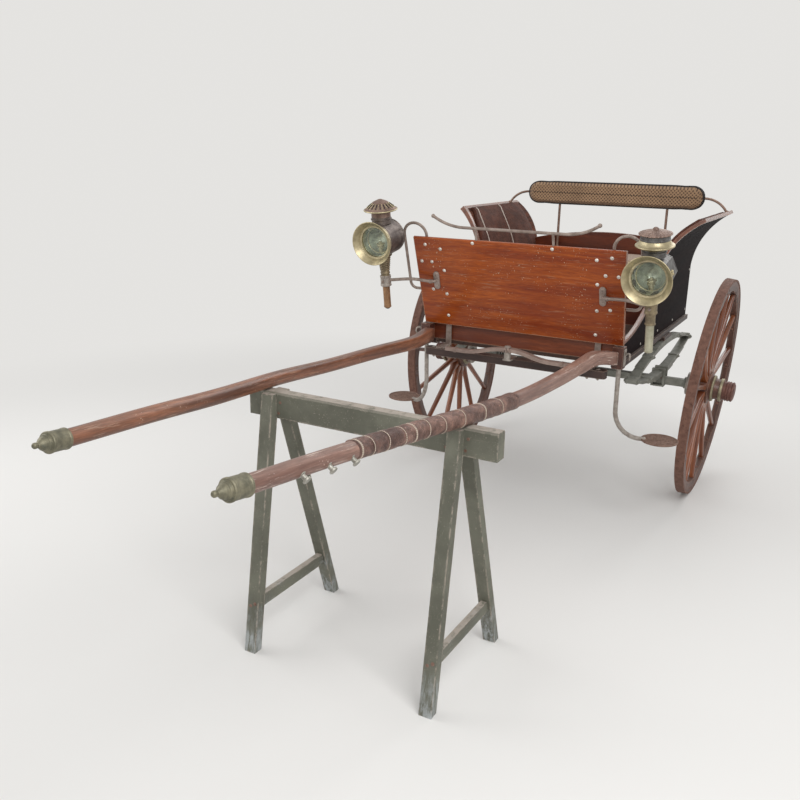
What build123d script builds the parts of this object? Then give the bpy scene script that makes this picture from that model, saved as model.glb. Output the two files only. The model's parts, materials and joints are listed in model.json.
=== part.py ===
from build123d import *
import os
from math import asin, atan2, cos, degrees, pi, radians, sin, tan

os.makedirs("parts", exist_ok=True)

# Driving dimensions, in millimetres and degrees.
# The cart frame runs forward (u), to the left (y) and up (v) from the middle of the axle,
# and is turned about the axle by the parked tilt: the shafts lie level on a trestle.
WHEEL_DIAMETER = 1100.0
TRACK = 1416.0
CAMBER = 3.7
PARKED_TILT = 0.0
BODY_HALF_WIDTH = 456.0
BODY_REAR = -520.0
BODY_FRONT = 830.0
SEAT_HEIGHT = 482.0
DASH_TOP_HALF_WIDTH = BODY_HALF_WIDTH + 26.0
DASH_BOTTOM_HALF_WIDTH = BODY_HALF_WIDTH + 16.0
DASH_FOOT = (850.0, 346.0)
DASH_HEAD = (976.0, 754.0)
SPRING_LENGTH = 1170.0
SHAFT_TIP = (3179.0, 268.0, 464.0)
TRESTLE_X = 2192.0
TRESTLE_SPREAD = 490.0
TRESTLE_SHIFT = -80.0

# Sizes that follow from them.
WHEEL_RADIUS = WHEEL_DIAMETER / 2
WHEEL_CENTRE_Z = WHEEL_RADIUS * cos(radians(CAMBER))
SIDES = (("left", 1), ("right", -1))
LEAN_COS = cos(radians(PARKED_TILT))
LEAN_SIN = sin(radians(PARKED_TILT))
FORWARD = Vector(LEAN_COS, 0, LEAN_SIN)
UPWARD = Vector(-LEAN_SIN, 0, LEAN_COS)
WING_SPRING = SEAT_HEIGHT + 49.0
WING_TOP = WING_SPRING + 298.0
WING_REAR = BODY_REAR - 89.0
REAR_X = WING_REAR * LEAN_COS - WING_TOP * LEAN_SIN
FRONT_X = SHAFT_TIP[0] * LEAN_COS - SHAFT_TIP[2] * LEAN_SIN
AXLE_X = -(REAR_X + FRONT_X) / 2
CART = Plane(origin=(AXLE_X, 0, WHEEL_CENTRE_Z), x_dir=FORWARD, z_dir=UPWARD)


def point(u, y, v):
    """World position of a point given in the cart frame."""
    return CART.from_local_coords(Vector(u, y, v))


def side_plane(y=0.0, u=0.0, v=0.0):
    """Plane seen from the cart's left: sketch x runs forward, sketch y runs up."""
    return Plane(origin=point(u, y, v), x_dir=FORWARD, z_dir=(0, -1, 0))


def front_plane(u=0.0, y=0.0, v=0.0):
    """Plane across the cart: sketch x runs to the left, sketch y runs up, the normal forward."""
    return Plane(origin=point(u, y, v), x_dir=(0, 1, 0), z_dir=FORWARD)


def level_plane(v=0.0, u=0.0, y=0.0):
    """Plane along the cart's floor: sketch x runs forward, sketch y to the left."""
    return Plane(origin=point(u, y, v), x_dir=FORWARD, z_dir=UPWARD)


# Shafts: stations from the corner block to the ferrule.
# Columns: forward, half spacing, height, width, depth, corner radius.
SHAFT_STATIONS = (
    (880.0, BODY_HALF_WIDTH - 20.0, 296.0, 50.0, 59.0, 5.0),
    (990.0, BODY_HALF_WIDTH - 60.0, 313.0, 47.5, 55.5, 6.0),
    (1130.0, BODY_HALF_WIDTH - 74.0, 309.0, 45.0, 52.0, 8.0),
    (1450.0, 391.6, 325.5, 43.6, 49.3, 12.0),
    (1790.0, 389.5, 343.7, 43.3, 48.4, 16.0),
    (2130.0, 372.1, 373.3, 44.1, 49.0, 19.0),
    (2470.0, 328.5, 399.0, 45.1, 49.1, 22.0),
    (2780.0, 300.0, 431.1, 45.2, 47.3, 22.0),
    (3061.0, 277.3, 451.2, 45.0, 45.2, 22.0),
)
WRAP_REAR = 1870.0
WRAP_FRONT = 2720.0
WRAP_THICKNESS = 3.0
# Columns: forward position of each iron stud on a shaft.
STUD_STATIONS = (2720.0 + 22.0, 2830.0, 2925.0)


def shaft_at(u):
    """Centre, size and corner radius of a shaft at a forward position."""
    for rear, front in zip(SHAFT_STATIONS, SHAFT_STATIONS[1:]):
        if rear[0] <= u <= front[0]:
            share = (u - rear[0]) / (front[0] - rear[0])
            return tuple(a + (b - a) * share for a, b in zip(rear, front))
    return SHAFT_STATIONS[-1]


shafts = {}
for side, hand in SIDES:
    with BuildPart() as shaft:
        for u, y, v, width, depth, corner in SHAFT_STATIONS:
            with BuildSketch(front_plane(u, hand * y, v)):
                RectangleRounded(width, depth, corner)
        loft(ruled=True)
    shaft.part.label = f"shaft_{side}"
    export_step(shaft.part, f"parts/shaft_{side}.step")
    shafts[side] = shaft.part

# Bronze ferrules: a rimmed barrel, stepped shoulders, a cone and a small ball finial.
# Columns: distance from the rear edge, radius.
FERRULE_PROFILE = (
    (0.0, 28.0), (5.0, 28.5), (9.0, 27.0), (54.0, 26.5), (59.0, 24.0), (62.0, 20.5),
    (67.0, 20.5), (70.0, 17.5), (80.0, 15.0), (84.0, 12.5), (89.0, 12.5),
)
FERRULE_NECK = ((96.0, 8.0), (101.0, 6.5))
FINIAL_RADIUS = 9.0
with BuildPart() as shaft_ferrules:
    for side, hand in SIDES:
        u, y, v = SHAFT_STATIONS[-1][:3]
        base = point(u, hand * y, v)
        run = (point(SHAFT_TIP[0], hand * SHAFT_TIP[1], SHAFT_TIP[2]) - base).normalized()
        length = (point(SHAFT_TIP[0], hand * SHAFT_TIP[1], SHAFT_TIP[2]) - base).length
        ball = length - FINIAL_RADIUS
        reach = ball - (FINIAL_RADIUS**2 - FERRULE_NECK[1][1] ** 2) ** 0.5
        with BuildSketch(Plane(origin=base, x_dir=run, z_dir=UPWARD)):
            with BuildLine():
                Polyline((0, 0), *FERRULE_PROFILE, FERRULE_NECK[0])
                Line(FERRULE_NECK[0], (reach, FERRULE_NECK[1][1]))
                ThreePointArc((reach, FERRULE_NECK[1][1]), (ball, FINIAL_RADIUS), (length, 0))
                Line((length, 0), (0, 0))
            make_face()
        revolve(axis=Axis(base, run))
        add(shafts[side], mode=Mode.SUBTRACT)
shaft_ferrules.part.label = "shaft_ferrules"
export_step(shaft_ferrules.part, "parts/shaft_ferrules.step")

# Spool-headed iron studs on the outer lower edge of each shaft.
STUD_PROFILE = ((0, 0), (0, 11), (3, 11), (5, 6.5), (15, 6.5), (17, 11), (21, 11), (23, 8), (23, 0))
with BuildPart() as shaft_studs:
    for side, hand in SIDES:
        for station in STUD_STATIONS:
            u, y, v, width, _, _ = shaft_at(station)
            outward = (CART.y_dir * hand - CART.z_dir * 0.75).normalized()
            base = point(u, hand * y, v) + outward * (width / 2 - 4)
            with BuildSketch(Plane(origin=base, x_dir=outward, z_dir=FORWARD)):
                with BuildLine():
                    Polyline(*STUD_PROFILE, close=True)
                make_face()
            revolve(axis=Axis(base, outward))
        add(shafts[side], mode=Mode.SUBTRACT)
shaft_studs.part.label = "shaft_studs"
export_step(shaft_studs.part, "parts/shaft_studs.step")

# Corner blocks that tie shaft, sill and dash together.
BLOCK_REAR = BODY_FRONT
BLOCK_FRONT = SHAFT_STATIONS[0][0]
BLOCK_INNER = BODY_HALF_WIDTH - 21.0
BLOCK_OUTER = BODY_HALF_WIDTH + 26.0
BLOCK_LOW = 251.0
BLOCK_HIGH = DASH_FOOT[1] - 2.0
with BuildPart() as corner_blocks:
    for side, hand in SIDES:
        with BuildSketch(level_plane(BLOCK_LOW)):
            with Locations(((BLOCK_REAR + BLOCK_FRONT) / 2, hand * (BLOCK_INNER + BLOCK_OUTER) / 2)):
                RectangleRounded(BLOCK_FRONT - BLOCK_REAR, BLOCK_OUTER - BLOCK_INNER, 3)
        extrude(amount=BLOCK_HIGH - BLOCK_LOW)
corner_blocks.part.label = "corner_blocks"
export_step(corner_blocks.part, "parts/corner_blocks.step")

# Cross bar under the shaft roots, with the swingletree on a bracket before it.
BAR_REAR = 890.0
BAR_FRONT = 940.0
BAR_TOP = 247.0
BAR_DEPTH = 34.0
BAR_HALF_LENGTH = BODY_HALF_WIDTH - 28.0
with BuildPart() as cross_bar:
    with BuildSketch(level_plane(BAR_TOP)):
        with Locations(((BAR_REAR + BAR_FRONT) / 2, 0)):
            RectangleRounded(BAR_FRONT - BAR_REAR, 2 * BAR_HALF_LENGTH, 16)
    extrude(amount=-BAR_DEPTH)
cross_bar.part.label = "cross_bar"
export_step(cross_bar.part, "parts/cross_bar.step")

TREE_U = 975.0
TREE_HALF_LENGTH = 300.0
TREE_END_V = 263.0
TREE_MIDDLE_V = 295.0
TREE_TIP = 85.0
TREE_DEPTH = 15.0
TREE_WIDTH = 32.0
PIN_RADIUS = 7.0
PIN_CLEARANCE = 1.0
with BuildPart() as swingletree:
    with BuildSketch(front_plane(TREE_U)):
        with BuildLine():
            bend = (TREE_HALF_LENGTH - TREE_TIP) / 2
            rise = (TREE_MIDDLE_V + TREE_END_V) / 2
            for hand in (1, -1):
                tip = Line((hand * TREE_HALF_LENGTH, TREE_END_V), (hand * (TREE_HALF_LENGTH - TREE_TIP), TREE_END_V))
                hollow = TangentArc(tip @ 1, (hand * bend, rise), tangent=tip % 1)
                TangentArc(hollow @ 1, (0, TREE_MIDDLE_V), tangent=hollow % 1)
            offset(amount=TREE_DEPTH / 2, side=Side.BOTH, kind=Kind.INTERSECTION)
        make_face()
    extrude(amount=TREE_WIDTH / 2, both=True)
    with BuildSketch(level_plane(TREE_END_V - 60)):
        with BuildLine():
            ThreePointArc(
                (TREE_U + 12, -TREE_HALF_LENGTH), (TREE_U + TREE_WIDTH / 2, 0), (TREE_U + 12, TREE_HALF_LENGTH)
            )
            Line((TREE_U + 12, TREE_HALF_LENGTH), (TREE_U - 12, TREE_HALF_LENGTH))
            ThreePointArc(
                (TREE_U - 12, TREE_HALF_LENGTH), (TREE_U - TREE_WIDTH / 2, 0), (TREE_U - 12, -TREE_HALF_LENGTH)
            )
            Line((TREE_U - 12, -TREE_HALF_LENGTH), (TREE_U + 12, -TREE_HALF_LENGTH))
        make_face()
    extrude(amount=140, mode=Mode.INTERSECT)
    with BuildSketch(level_plane(TREE_END_V - 60)):
        with Locations((TREE_U, 0)):
            Circle(PIN_RADIUS + PIN_CLEARANCE)
    extrude(amount=140, mode=Mode.SUBTRACT)
swingletree.part.label = "swingletree"
export_step(swingletree.part, "parts/swingletree.step")

# Iron bracket plate on the cross bar with the pin that the swingletree turns on.
BRACKET_THICKNESS = 6.0
with BuildPart() as swingletree_bracket:
    with BuildSketch(level_plane(BAR_TOP)):
        with Locations(((BAR_REAR + 10 + TREE_U + 14) / 2, 0)):
            RectangleRounded(TREE_U + 14 - BAR_REAR - 10, 40, 12)
    extrude(amount=BRACKET_THICKNESS)
    with BuildSketch(level_plane(BAR_TOP + BRACKET_THICKNESS)):
        with Locations((TREE_U, 0)):
            Circle(15)
    extrude(amount=TREE_MIDDLE_V - TREE_DEPTH / 2 - 1 - BAR_TOP - BRACKET_THICKNESS)
    with BuildSketch(level_plane(BAR_TOP + BRACKET_THICKNESS)):
        with Locations((TREE_U, 0)):
            Circle(PIN_RADIUS)
    extrude(amount=TREE_MIDDLE_V + TREE_DEPTH / 2 + 3 - BAR_TOP - BRACKET_THICKNESS)
    with BuildSketch(level_plane(TREE_MIDDLE_V + TREE_DEPTH / 2 + 1)):
        with Locations((TREE_U, 0)):
            Circle(14)
    extrude(amount=9)
    fillet(swingletree_bracket.faces().sort_by(Axis(point(0, 0, 0), UPWARD))[-1].edges(), 4)
swingletree_bracket.part.label = "swingletree_bracket"
export_step(swingletree_bracket.part, "parts/swingletree_bracket.step")

# Dash board: it leans forward over the foot space.
DASH_THICKNESS = 16.0
dash_run = Vector(DASH_HEAD[0] - DASH_FOOT[0], 0, DASH_HEAD[1] - DASH_FOOT[1])
DASH_HEIGHT = dash_run.length
DASH_LEAN = atan2(dash_run.X, dash_run.Z)
dash_normal = FORWARD * cos(DASH_LEAN) - UPWARD * sin(DASH_LEAN)
dash_up = FORWARD * sin(DASH_LEAN) + UPWARD * cos(DASH_LEAN)
DASH = Plane(origin=point(DASH_FOOT[0], 0, DASH_FOOT[1]), x_dir=(0, 1, 0), z_dir=dash_normal)
with BuildPart() as dash_board:
    with BuildSketch(DASH):
        with BuildLine():
            Polyline(
                (-DASH_BOTTOM_HALF_WIDTH, 0),
                (DASH_BOTTOM_HALF_WIDTH, 0),
                (DASH_TOP_HALF_WIDTH, DASH_HEIGHT),
                (-DASH_TOP_HALF_WIDTH, DASH_HEIGHT),
                close=True,
            )
        make_face()
    extrude(amount=-DASH_THICKNESS)
    fillet(dash_board.edges().filter_by(Axis.Y).sort_by(Axis.Z)[-2:], 6)
dash_board.part.label = "dash_board"
export_step(dash_board.part, "parts/dash_board.step")

# Two flat irons behind the dash, bent down and forward onto the cross bar.
IRON_Y = BODY_HALF_WIDTH - 98.0
IRON_WIDTH = 26.0
IRON_THICKNESS = 8.0
iron_back = DASH_THICKNESS + IRON_THICKNESS / 2
iron_head = (
    DASH_FOOT[0] + (DASH_HEIGHT - 60) * sin(DASH_LEAN) - iron_back * cos(DASH_LEAN),
    DASH_FOOT[1] + (DASH_HEIGHT - 60) * cos(DASH_LEAN) + iron_back * sin(DASH_LEAN),
)
iron_knee = (DASH_FOOT[0] - iron_back * cos(DASH_LEAN), DASH_FOOT[1] + iron_back * sin(DASH_LEAN))
iron_heel = (iron_knee[0], BAR_TOP + IRON_THICKNESS / 2)
iron_toe = (BAR_FRONT - 6, BAR_TOP + IRON_THICKNESS / 2)
with BuildPart() as dash_irons:
    for side, hand in SIDES:
        with BuildSketch(side_plane(hand * IRON_Y)):
            with BuildLine():
                Polyline(iron_head, iron_knee, iron_heel, iron_toe)
                offset(amount=IRON_THICKNESS / 2, side=Side.BOTH, kind=Kind.INTERSECTION)
            make_face()
        extrude(amount=IRON_WIDTH / 2, both=True)
    add(dash_board.part, mode=Mode.SUBTRACT)
dash_irons.part.label = "dash_irons"
export_step(dash_irons.part, "parts/dash_irons.step")

# Rein rail over the dash, its ends swept up to small balls.
RAIL_RADIUS = 6.5
RAIL_LIFT = 54.0
RAIL_FLAT = 230.0
RAIL_END = (372.0, 100.0)
RAIL_POST = 175.0
POST_RADIUS = 5.5
REIN = DASH.offset(-DASH_THICKNESS / 2)
with BuildPart() as rein_rail:
    with BuildLine(REIN):
        flat = Line((-RAIL_FLAT, DASH_HEIGHT + RAIL_LIFT), (RAIL_FLAT, DASH_HEIGHT + RAIL_LIFT))
        TangentArc(flat @ 1, (RAIL_END[0], DASH_HEIGHT + RAIL_END[1]), tangent=flat % 1)
        TangentArc(flat @ 0, (-RAIL_END[0], DASH_HEIGHT + RAIL_END[1]), tangent=(flat % 0) * -1)
    rail_start = REIN.from_local_coords((-RAIL_FLAT, DASH_HEIGHT + RAIL_LIFT))
    with BuildSketch(Plane(origin=rail_start, z_dir=(0, 1, 0))):
        Circle(RAIL_RADIUS)
    sweep()
    for hand in (1, -1):
        with Locations(REIN.location * Location((hand * RAIL_END[0], DASH_HEIGHT + RAIL_END[1], 0))):
            Sphere(9)
        with BuildSketch(Plane(origin=REIN.from_local_coords((hand * RAIL_POST, DASH_HEIGHT)), z_dir=dash_up)):
            Circle(POST_RADIUS)
        extrude(amount=RAIL_LIFT)
rein_rail.part.label = "rein_rail"
export_step(rein_rail.part, "parts/rein_rail.step")

# Grab rails: a round iron loop from behind the dash top, out and down to its edge.
GRAB_RADIUS = 6.5
GRAB = DASH.offset(-DASH_THICKNESS - GRAB_RADIUS)
GRAB_INNER = DASH_TOP_HALF_WIDTH - 57.0
GRAB_OUTER = DASH_TOP_HALF_WIDTH + 56.0
GRAB_DROP = 265.0
grab_loops = []
for side, hand in SIDES:
    with BuildPart() as grab_loop:
        with BuildLine(GRAB) as loop:
            rise = Line((hand * GRAB_INNER, DASH_HEIGHT - 60), (hand * GRAB_INNER, DASH_HEIGHT))
            crown = TangentArc(rise @ 1, (hand * GRAB_OUTER, DASH_HEIGHT), tangent=rise % 1)
            drop = Line(crown @ 1, (hand * GRAB_OUTER, DASH_HEIGHT - GRAB_DROP + 30))
            turn = TangentArc(drop @ 1, (hand * (GRAB_OUTER - 30), DASH_HEIGHT - GRAB_DROP), tangent=drop % 1)
            Line(turn @ 1, (hand * (GRAB_INNER + 20), DASH_HEIGHT - GRAB_DROP))
        with BuildSketch(Plane(origin=loop.line @ 0, z_dir=loop.line % 0)):
            Circle(GRAB_RADIUS)
        sweep()
    grab_loops.append(grab_loop.part)
with BuildPart() as grab_rails:
    for grab_loop in grab_loops:
        add(grab_loop)
grab_rails.part.label = "grab_rails"
export_step(grab_rails.part, "parts/grab_rails.step")

# Body: sills, floor, front panel and the two side panels that flare out as wings.
SILL_INNER = BODY_HALF_WIDTH - 36.0
SILL_OUTER = BODY_HALF_WIDTH + 14.0
SILL_LOW = 244.0
FLOOR_LOW = 250.0
FLOOR_HIGH = 268.0
PANEL = 14.0
WING_RADIUS = 341.0
WING_SWEEP = 57.4
RAIL_SWEEP = 3.5
RAIL_PROUD = 1.5
with BuildPart() as sills:
    for side, hand in SIDES:
        with BuildSketch(level_plane(SILL_LOW)):
            with Locations(((BODY_REAR + BODY_FRONT) / 2, hand * (SILL_INNER + SILL_OUTER) / 2)):
                Rectangle(BODY_FRONT - BODY_REAR, SILL_OUTER - SILL_INNER)
        extrude(amount=FLOOR_HIGH - SILL_LOW)
sills.part.label = "sills"
export_step(sills.part, "parts/sills.step")

FRONT_PANEL_FACE = BODY_FRONT - 10.0
with BuildPart() as floor_boards:
    with BuildSketch(level_plane(FLOOR_LOW)):
        with Locations(((BODY_REAR + FRONT_PANEL_FACE) / 2, 0)):
            Rectangle(FRONT_PANEL_FACE - BODY_REAR, 2 * SILL_INNER)
    extrude(amount=FLOOR_HIGH - FLOOR_LOW)
floor_boards.part.label = "floor_boards"
export_step(floor_boards.part, "parts/floor_boards.step")


def wing_section(hand, low, radius_in, radius_out, start, end, foot):
    """Section of a panel: a straight foot below the flare, then the flare's arc band."""
    centre = BODY_HALF_WIDTH + WING_RADIUS

    def at(radius, angle):
        return (hand * (centre - radius * cos(radians(angle))), WING_SPRING + radius * sin(radians(angle)))

    middle = (start + end) / 2
    with BuildSketch() as section:
        with BuildLine():
            ThreePointArc(at(radius_out, start), at(radius_out, middle), at(radius_out, end))
            Line(at(radius_out, end), at(radius_in, end))
            ThreePointArc(at(radius_in, end), at(radius_in, middle), at(radius_in, start))
            if foot:
                Line(at(radius_in, start), (at(radius_in, start)[0], low))
                Line((at(radius_in, start)[0], low), (at(radius_out, start)[0], low))
                Line((at(radius_out, start)[0], low), at(radius_out, start))
            else:
                Line(at(radius_in, start), at(radius_out, start))
        make_face()
    return section.sketch_local


def face_y(v):
    """Half the width between the side panels' inner faces at a height on the flare."""
    reach = WING_RADIUS + PANEL
    return BODY_HALF_WIDTH + WING_RADIUS - (reach**2 - (v - WING_SPRING) ** 2) ** 0.5


# The edge of a side panel: up the rear, along the wing, down the swept front to the dash foot.
WING_FRONT = 130.0
RAIL_BAND = (14.0, 12.0)
with BuildSketch(side_plane()) as side_outline:
    with BuildLine():
        Line((BODY_FRONT, FLOOR_HIGH), (BODY_REAR, FLOOR_HIGH))
        Line((BODY_REAR, FLOOR_HIGH), (BODY_REAR, SEAT_HEIGHT + 60))
        Line((BODY_REAR, SEAT_HEIGHT + 60), (WING_REAR, WING_TOP + 30))
        Line((WING_REAR, WING_TOP + 30), (WING_FRONT, WING_TOP + 30))
        shoulder = ThreePointArc(
            (WING_FRONT, WING_TOP + 30), (WING_FRONT + 118, WING_TOP - 84), (WING_FRONT + 147, WING_TOP - 179)
        )
        hollow = TangentArc(shoulder @ 1, (WING_FRONT + 300, WING_TOP - 389), tangent=shoulder % 1)
        TangentArc(hollow @ 1, (BODY_FRONT, DASH_FOOT[1] + 4), tangent=hollow % 1)
        Line((BODY_FRONT, DASH_FOOT[1] + 4), (BODY_FRONT, FLOOR_HIGH))
    make_face()

body_length = BODY_FRONT - WING_REAR
top_rails = []
for side, hand in SIDES:
    with BuildPart() as side_panel:
        with BuildSketch(front_plane(WING_REAR)):
            add(wing_section(hand, FLOOR_HIGH, WING_RADIUS, WING_RADIUS + PANEL, 0, WING_SWEEP, True))
        extrude(amount=body_length)
        with BuildSketch(side_plane(hand * 300)):
            add(side_outline.sketch_local)
            add(side_outline.sketch_local.moved(Location((-RAIL_BAND[0], -RAIL_BAND[1]))), mode=Mode.INTERSECT)
        extrude(amount=-hand * 450, mode=Mode.INTERSECT)
    side_panel.part.label = f"side_panel_{side}"
    export_step(side_panel.part, f"parts/side_panel_{side}.step")

    with BuildPart() as top_rail:
        with BuildSketch(front_plane(WING_REAR)):
            rail_in, rail_out = WING_RADIUS - RAIL_PROUD, WING_RADIUS + PANEL + RAIL_PROUD
            add(wing_section(hand, FLOOR_HIGH, rail_in, rail_out, 0, WING_SWEEP, True))
        extrude(amount=body_length)
        with BuildSketch(side_plane(hand * 300)):
            add(side_outline.sketch_local)
            add(side_outline.sketch_local.moved(Location((-RAIL_BAND[0], -RAIL_BAND[1]))), mode=Mode.SUBTRACT)
        extrude(amount=-hand * 450, mode=Mode.INTERSECT)
        with BuildSketch(front_plane(WING_REAR)):
            rail_end = WING_SWEEP + RAIL_SWEEP
            add(wing_section(hand, 0, rail_in, rail_out, WING_SWEEP, rail_end, False))
        extrude(amount=body_length)
        with BuildSketch(side_plane(hand * 300)):
            add(side_outline.sketch_local)
        extrude(amount=-hand * 450, mode=Mode.INTERSECT)
    top_rail.part.label = f"top_rail_{side}"
    export_step(top_rail.part, f"parts/top_rail_{side}.step")
    top_rails.append(top_rail.part)

with BuildPart() as front_panel:
    with BuildSketch(front_plane(FRONT_PANEL_FACE)):
        with Locations((0, (FLOOR_HIGH + DASH_FOOT[1]) / 2)):
            Rectangle(2 * (BODY_HALF_WIDTH - PANEL), DASH_FOOT[1] - FLOOR_HIGH)
    extrude(amount=-PANEL)
    for top_rail in top_rails:
        add(top_rail, mode=Mode.SUBTRACT)
front_panel.part.label = "front_panel"
export_step(front_panel.part, "parts/front_panel.step")

# Leather lining on the inside of each wing, a soft pad.
LINING_GAP = 1.0
LINING = 14.0
LINING_FRONT = 285.0
for side, hand in SIDES:
    with BuildPart() as lining:
        with BuildSketch(front_plane(BODY_REAR + 40)):
            pad_in = WING_RADIUS + PANEL + LINING_GAP
            add(wing_section(hand, SEAT_HEIGHT + 22, pad_in, pad_in + LINING, 0, WING_SWEEP - 1, True))
        extrude(amount=LINING_FRONT - BODY_REAR - 40)
        with BuildSketch(side_plane(hand * 300)):
            add(side_outline.sketch_local.moved(Location((-RAIL_BAND[0] - 3, -RAIL_BAND[1] - 3))))
        extrude(amount=-hand * 450, mode=Mode.INTERSECT)
    lining.part.label = f"side_lining_{side}"
    export_step(lining.part, f"parts/side_lining_{side}.step")

# Seat: board, riser, cushion.
SEAT_BOARD = 20.0
SEAT_REAR = BODY_REAR
SEAT_FRONT = -10.0
RISER_FACE = SEAT_FRONT - 12.0
INNER = BODY_HALF_WIDTH - PANEL
with BuildPart() as seat_board:
    with BuildSketch(level_plane(SEAT_HEIGHT)):
        with Locations(((SEAT_REAR + SEAT_FRONT) / 2, 0)):
            Rectangle(SEAT_FRONT - SEAT_REAR, 2 * INNER)
    extrude(amount=SEAT_BOARD)
    fillet(seat_board.edges().filter_by(Axis.Y).sort_by(Axis.X)[-2:], 8)
seat_board.part.label = "seat_board"
export_step(seat_board.part, "parts/seat_board.step")

with BuildPart() as seat_riser:
    with BuildSketch(front_plane(RISER_FACE)):
        with Locations((0, (FLOOR_HIGH + SEAT_HEIGHT) / 2)):
            Rectangle(2 * INNER, SEAT_HEIGHT - FLOOR_HIGH)
    extrude(amount=-PANEL)
seat_riser.part.label = "seat_riser"
export_step(seat_riser.part, "parts/seat_riser.step")

# Fixed back board on the rear edge of the seat board.
BACK_THICKNESS = 18.0
SEAT_TOP = SEAT_HEIGHT + SEAT_BOARD
BACK_TOP = SEAT_TOP + 190.0
BACK_SHOULDER = BACK_TOP - 55.0
with BuildPart() as back_board:
    with BuildSketch(front_plane(BODY_REAR)):
        with BuildLine():
            middle = (WING_SPRING + BACK_SHOULDER) / 2
            shoulder_y = face_y(BACK_SHOULDER)
            Line((-INNER, SEAT_TOP), (INNER, SEAT_TOP))
            for hand in (1, -1):
                Line((hand * INNER, SEAT_TOP), (hand * INNER, WING_SPRING))
                ThreePointArc(
                    (hand * INNER, WING_SPRING), (hand * face_y(middle), middle), (hand * shoulder_y, BACK_SHOULDER)
                )
            ThreePointArc((shoulder_y, BACK_SHOULDER), (0, BACK_TOP), (-shoulder_y, BACK_SHOULDER))
        make_face()
    extrude(amount=BACK_THICKNESS)
    for top_rail in top_rails:
        add(top_rail, mode=Mode.SUBTRACT)
back_board.part.label = "back_board"
export_step(back_board.part, "parts/back_board.step")

CUSHION_HEIGHT = 88.0
CUSHION_REAR = BODY_REAR + 62.0
with BuildPart() as seat_cushion:
    with BuildSketch(level_plane(SEAT_HEIGHT + SEAT_BOARD + 1)):
        with Locations(((CUSHION_REAR + SEAT_FRONT - 4) / 2, 0)):
            RectangleRounded(SEAT_FRONT - 4 - CUSHION_REAR, 2 * (INNER - LINING - LINING_GAP - 5), 30)
    extrude(amount=CUSHION_HEIGHT)
    fillet(seat_cushion.faces().sort_by(Axis(point(0, 0, 0), UPWARD))[-1].edges(), 24)
seat_cushion.part.label = "seat_cushion"
export_step(seat_cushion.part, "parts/seat_cushion.step")

# Backrest roll, its two uprights from the seat board and an arm to each wing.
ROLL_U = -480.0
ROLL_V = WING_TOP + 74.0
ROLL_LENGTH = 2 * BODY_HALF_WIDTH + 84.0
ROLL_HEIGHT = 130.0
ROLL_DEPTH = 62.0
with BuildPart() as backrest_roll:
    with BuildSketch(front_plane(ROLL_U - ROLL_DEPTH / 2)):
        with Locations((0, ROLL_V)):
            RectangleRounded(ROLL_LENGTH, ROLL_HEIGHT, ROLL_HEIGHT / 2 - 3)
    extrude(amount=ROLL_DEPTH)
    fillet(backrest_roll.faces().sort_by(Axis(point(0, 0, 0), FORWARD))[-1].edges(), 24)
    fillet(backrest_roll.faces().sort_by(Axis(point(0, 0, 0), FORWARD))[0].edges(), 18)
backrest_roll.part.label = "backrest_roll"
export_step(backrest_roll.part, "parts/backrest_roll.step")

UPRIGHT_Y = BODY_HALF_WIDTH - 150.0
UPRIGHT_TOP = ROLL_V - ROLL_HEIGHT / 2 - 0.5
with BuildPart() as backrest_uprights:
    for side, hand in SIDES:
        with BuildSketch(level_plane(SEAT_TOP)):
            with Locations((ROLL_U + 1, hand * UPRIGHT_Y)):
                SlotOverall(66, 26, rotation=90)
        extrude(amount=6)
        with BuildSketch(level_plane(SEAT_TOP + 6)):
            with Locations((ROLL_U + 1, hand * UPRIGHT_Y)):
                Circle(7)
        extrude(amount=UPRIGHT_TOP - SEAT_TOP - 6)
backrest_uprights.part.label = "backrest_uprights"
export_step(backrest_uprights.part, "parts/backrest_uprights.step")

# Each arm leaves the roll's end level and bends down to a round pad on the wing's rail.
ARM_IRON = 6.5
ARM_PAD = 5.0
arm_angle = radians(WING_SWEEP + RAIL_SWEEP / 2)
rail_crown = WING_RADIUS + PANEL + RAIL_PROUD
arm_y = BODY_HALF_WIDTH + WING_RADIUS - rail_crown * cos(arm_angle)
arm_v = WING_SPRING + rail_crown * sin(arm_angle)
with BuildPart() as backrest_arms:
    for side, hand in SIDES:
        pad_normal = (CART.y_dir * (-hand * cos(arm_angle)) + CART.z_dir * sin(arm_angle)).normalized()
        pad_base = point(ROLL_U, hand * arm_y, arm_v)
        with BuildSketch(Plane(origin=pad_base, x_dir=FORWARD, z_dir=pad_normal)):
            Circle(11)
        extrude(amount=ARM_PAD)
        roll_end = point(ROLL_U, hand * (ROLL_LENGTH / 2 + 0.3), ROLL_V)
        with BuildLine() as arm_line:
            TangentArc(roll_end, pad_base + pad_normal * (ARM_PAD / 2), tangent=(0, hand, 0))
        with BuildSketch(Plane(origin=roll_end, z_dir=(0, hand, 0))):
            Circle(ARM_IRON)
        sweep(path=arm_line.line)
backrest_arms.part.label = "backrest_arms"
export_step(backrest_arms.part, "parts/backrest_arms.step")

# Tail board under the seat, hinged at the floor.
TAIL_THICKNESS = 18.0
TAIL_CLEARANCE = 5.5
TAIL_TOP = SEAT_HEIGHT - TAIL_CLEARANCE
HINGE_U = BODY_REAR - 8.0
HINGE_V = FLOOR_HIGH - 6.0
HINGE_Y = BODY_HALF_WIDTH - 156.0
KNUCKLE_RADIUS = 7.0
with BuildPart() as tail_board:
    with BuildSketch(front_plane(BODY_REAR)):
        with Locations((0, (FLOOR_HIGH + 7 + TAIL_TOP) / 2)):
            Rectangle(2 * (INNER - TAIL_CLEARANCE), TAIL_TOP - FLOOR_HIGH - 7)
    extrude(amount=TAIL_THICKNESS)
tail_board.part.label = "tail_board"
export_step(tail_board.part, "parts/tail_board.step")

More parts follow.
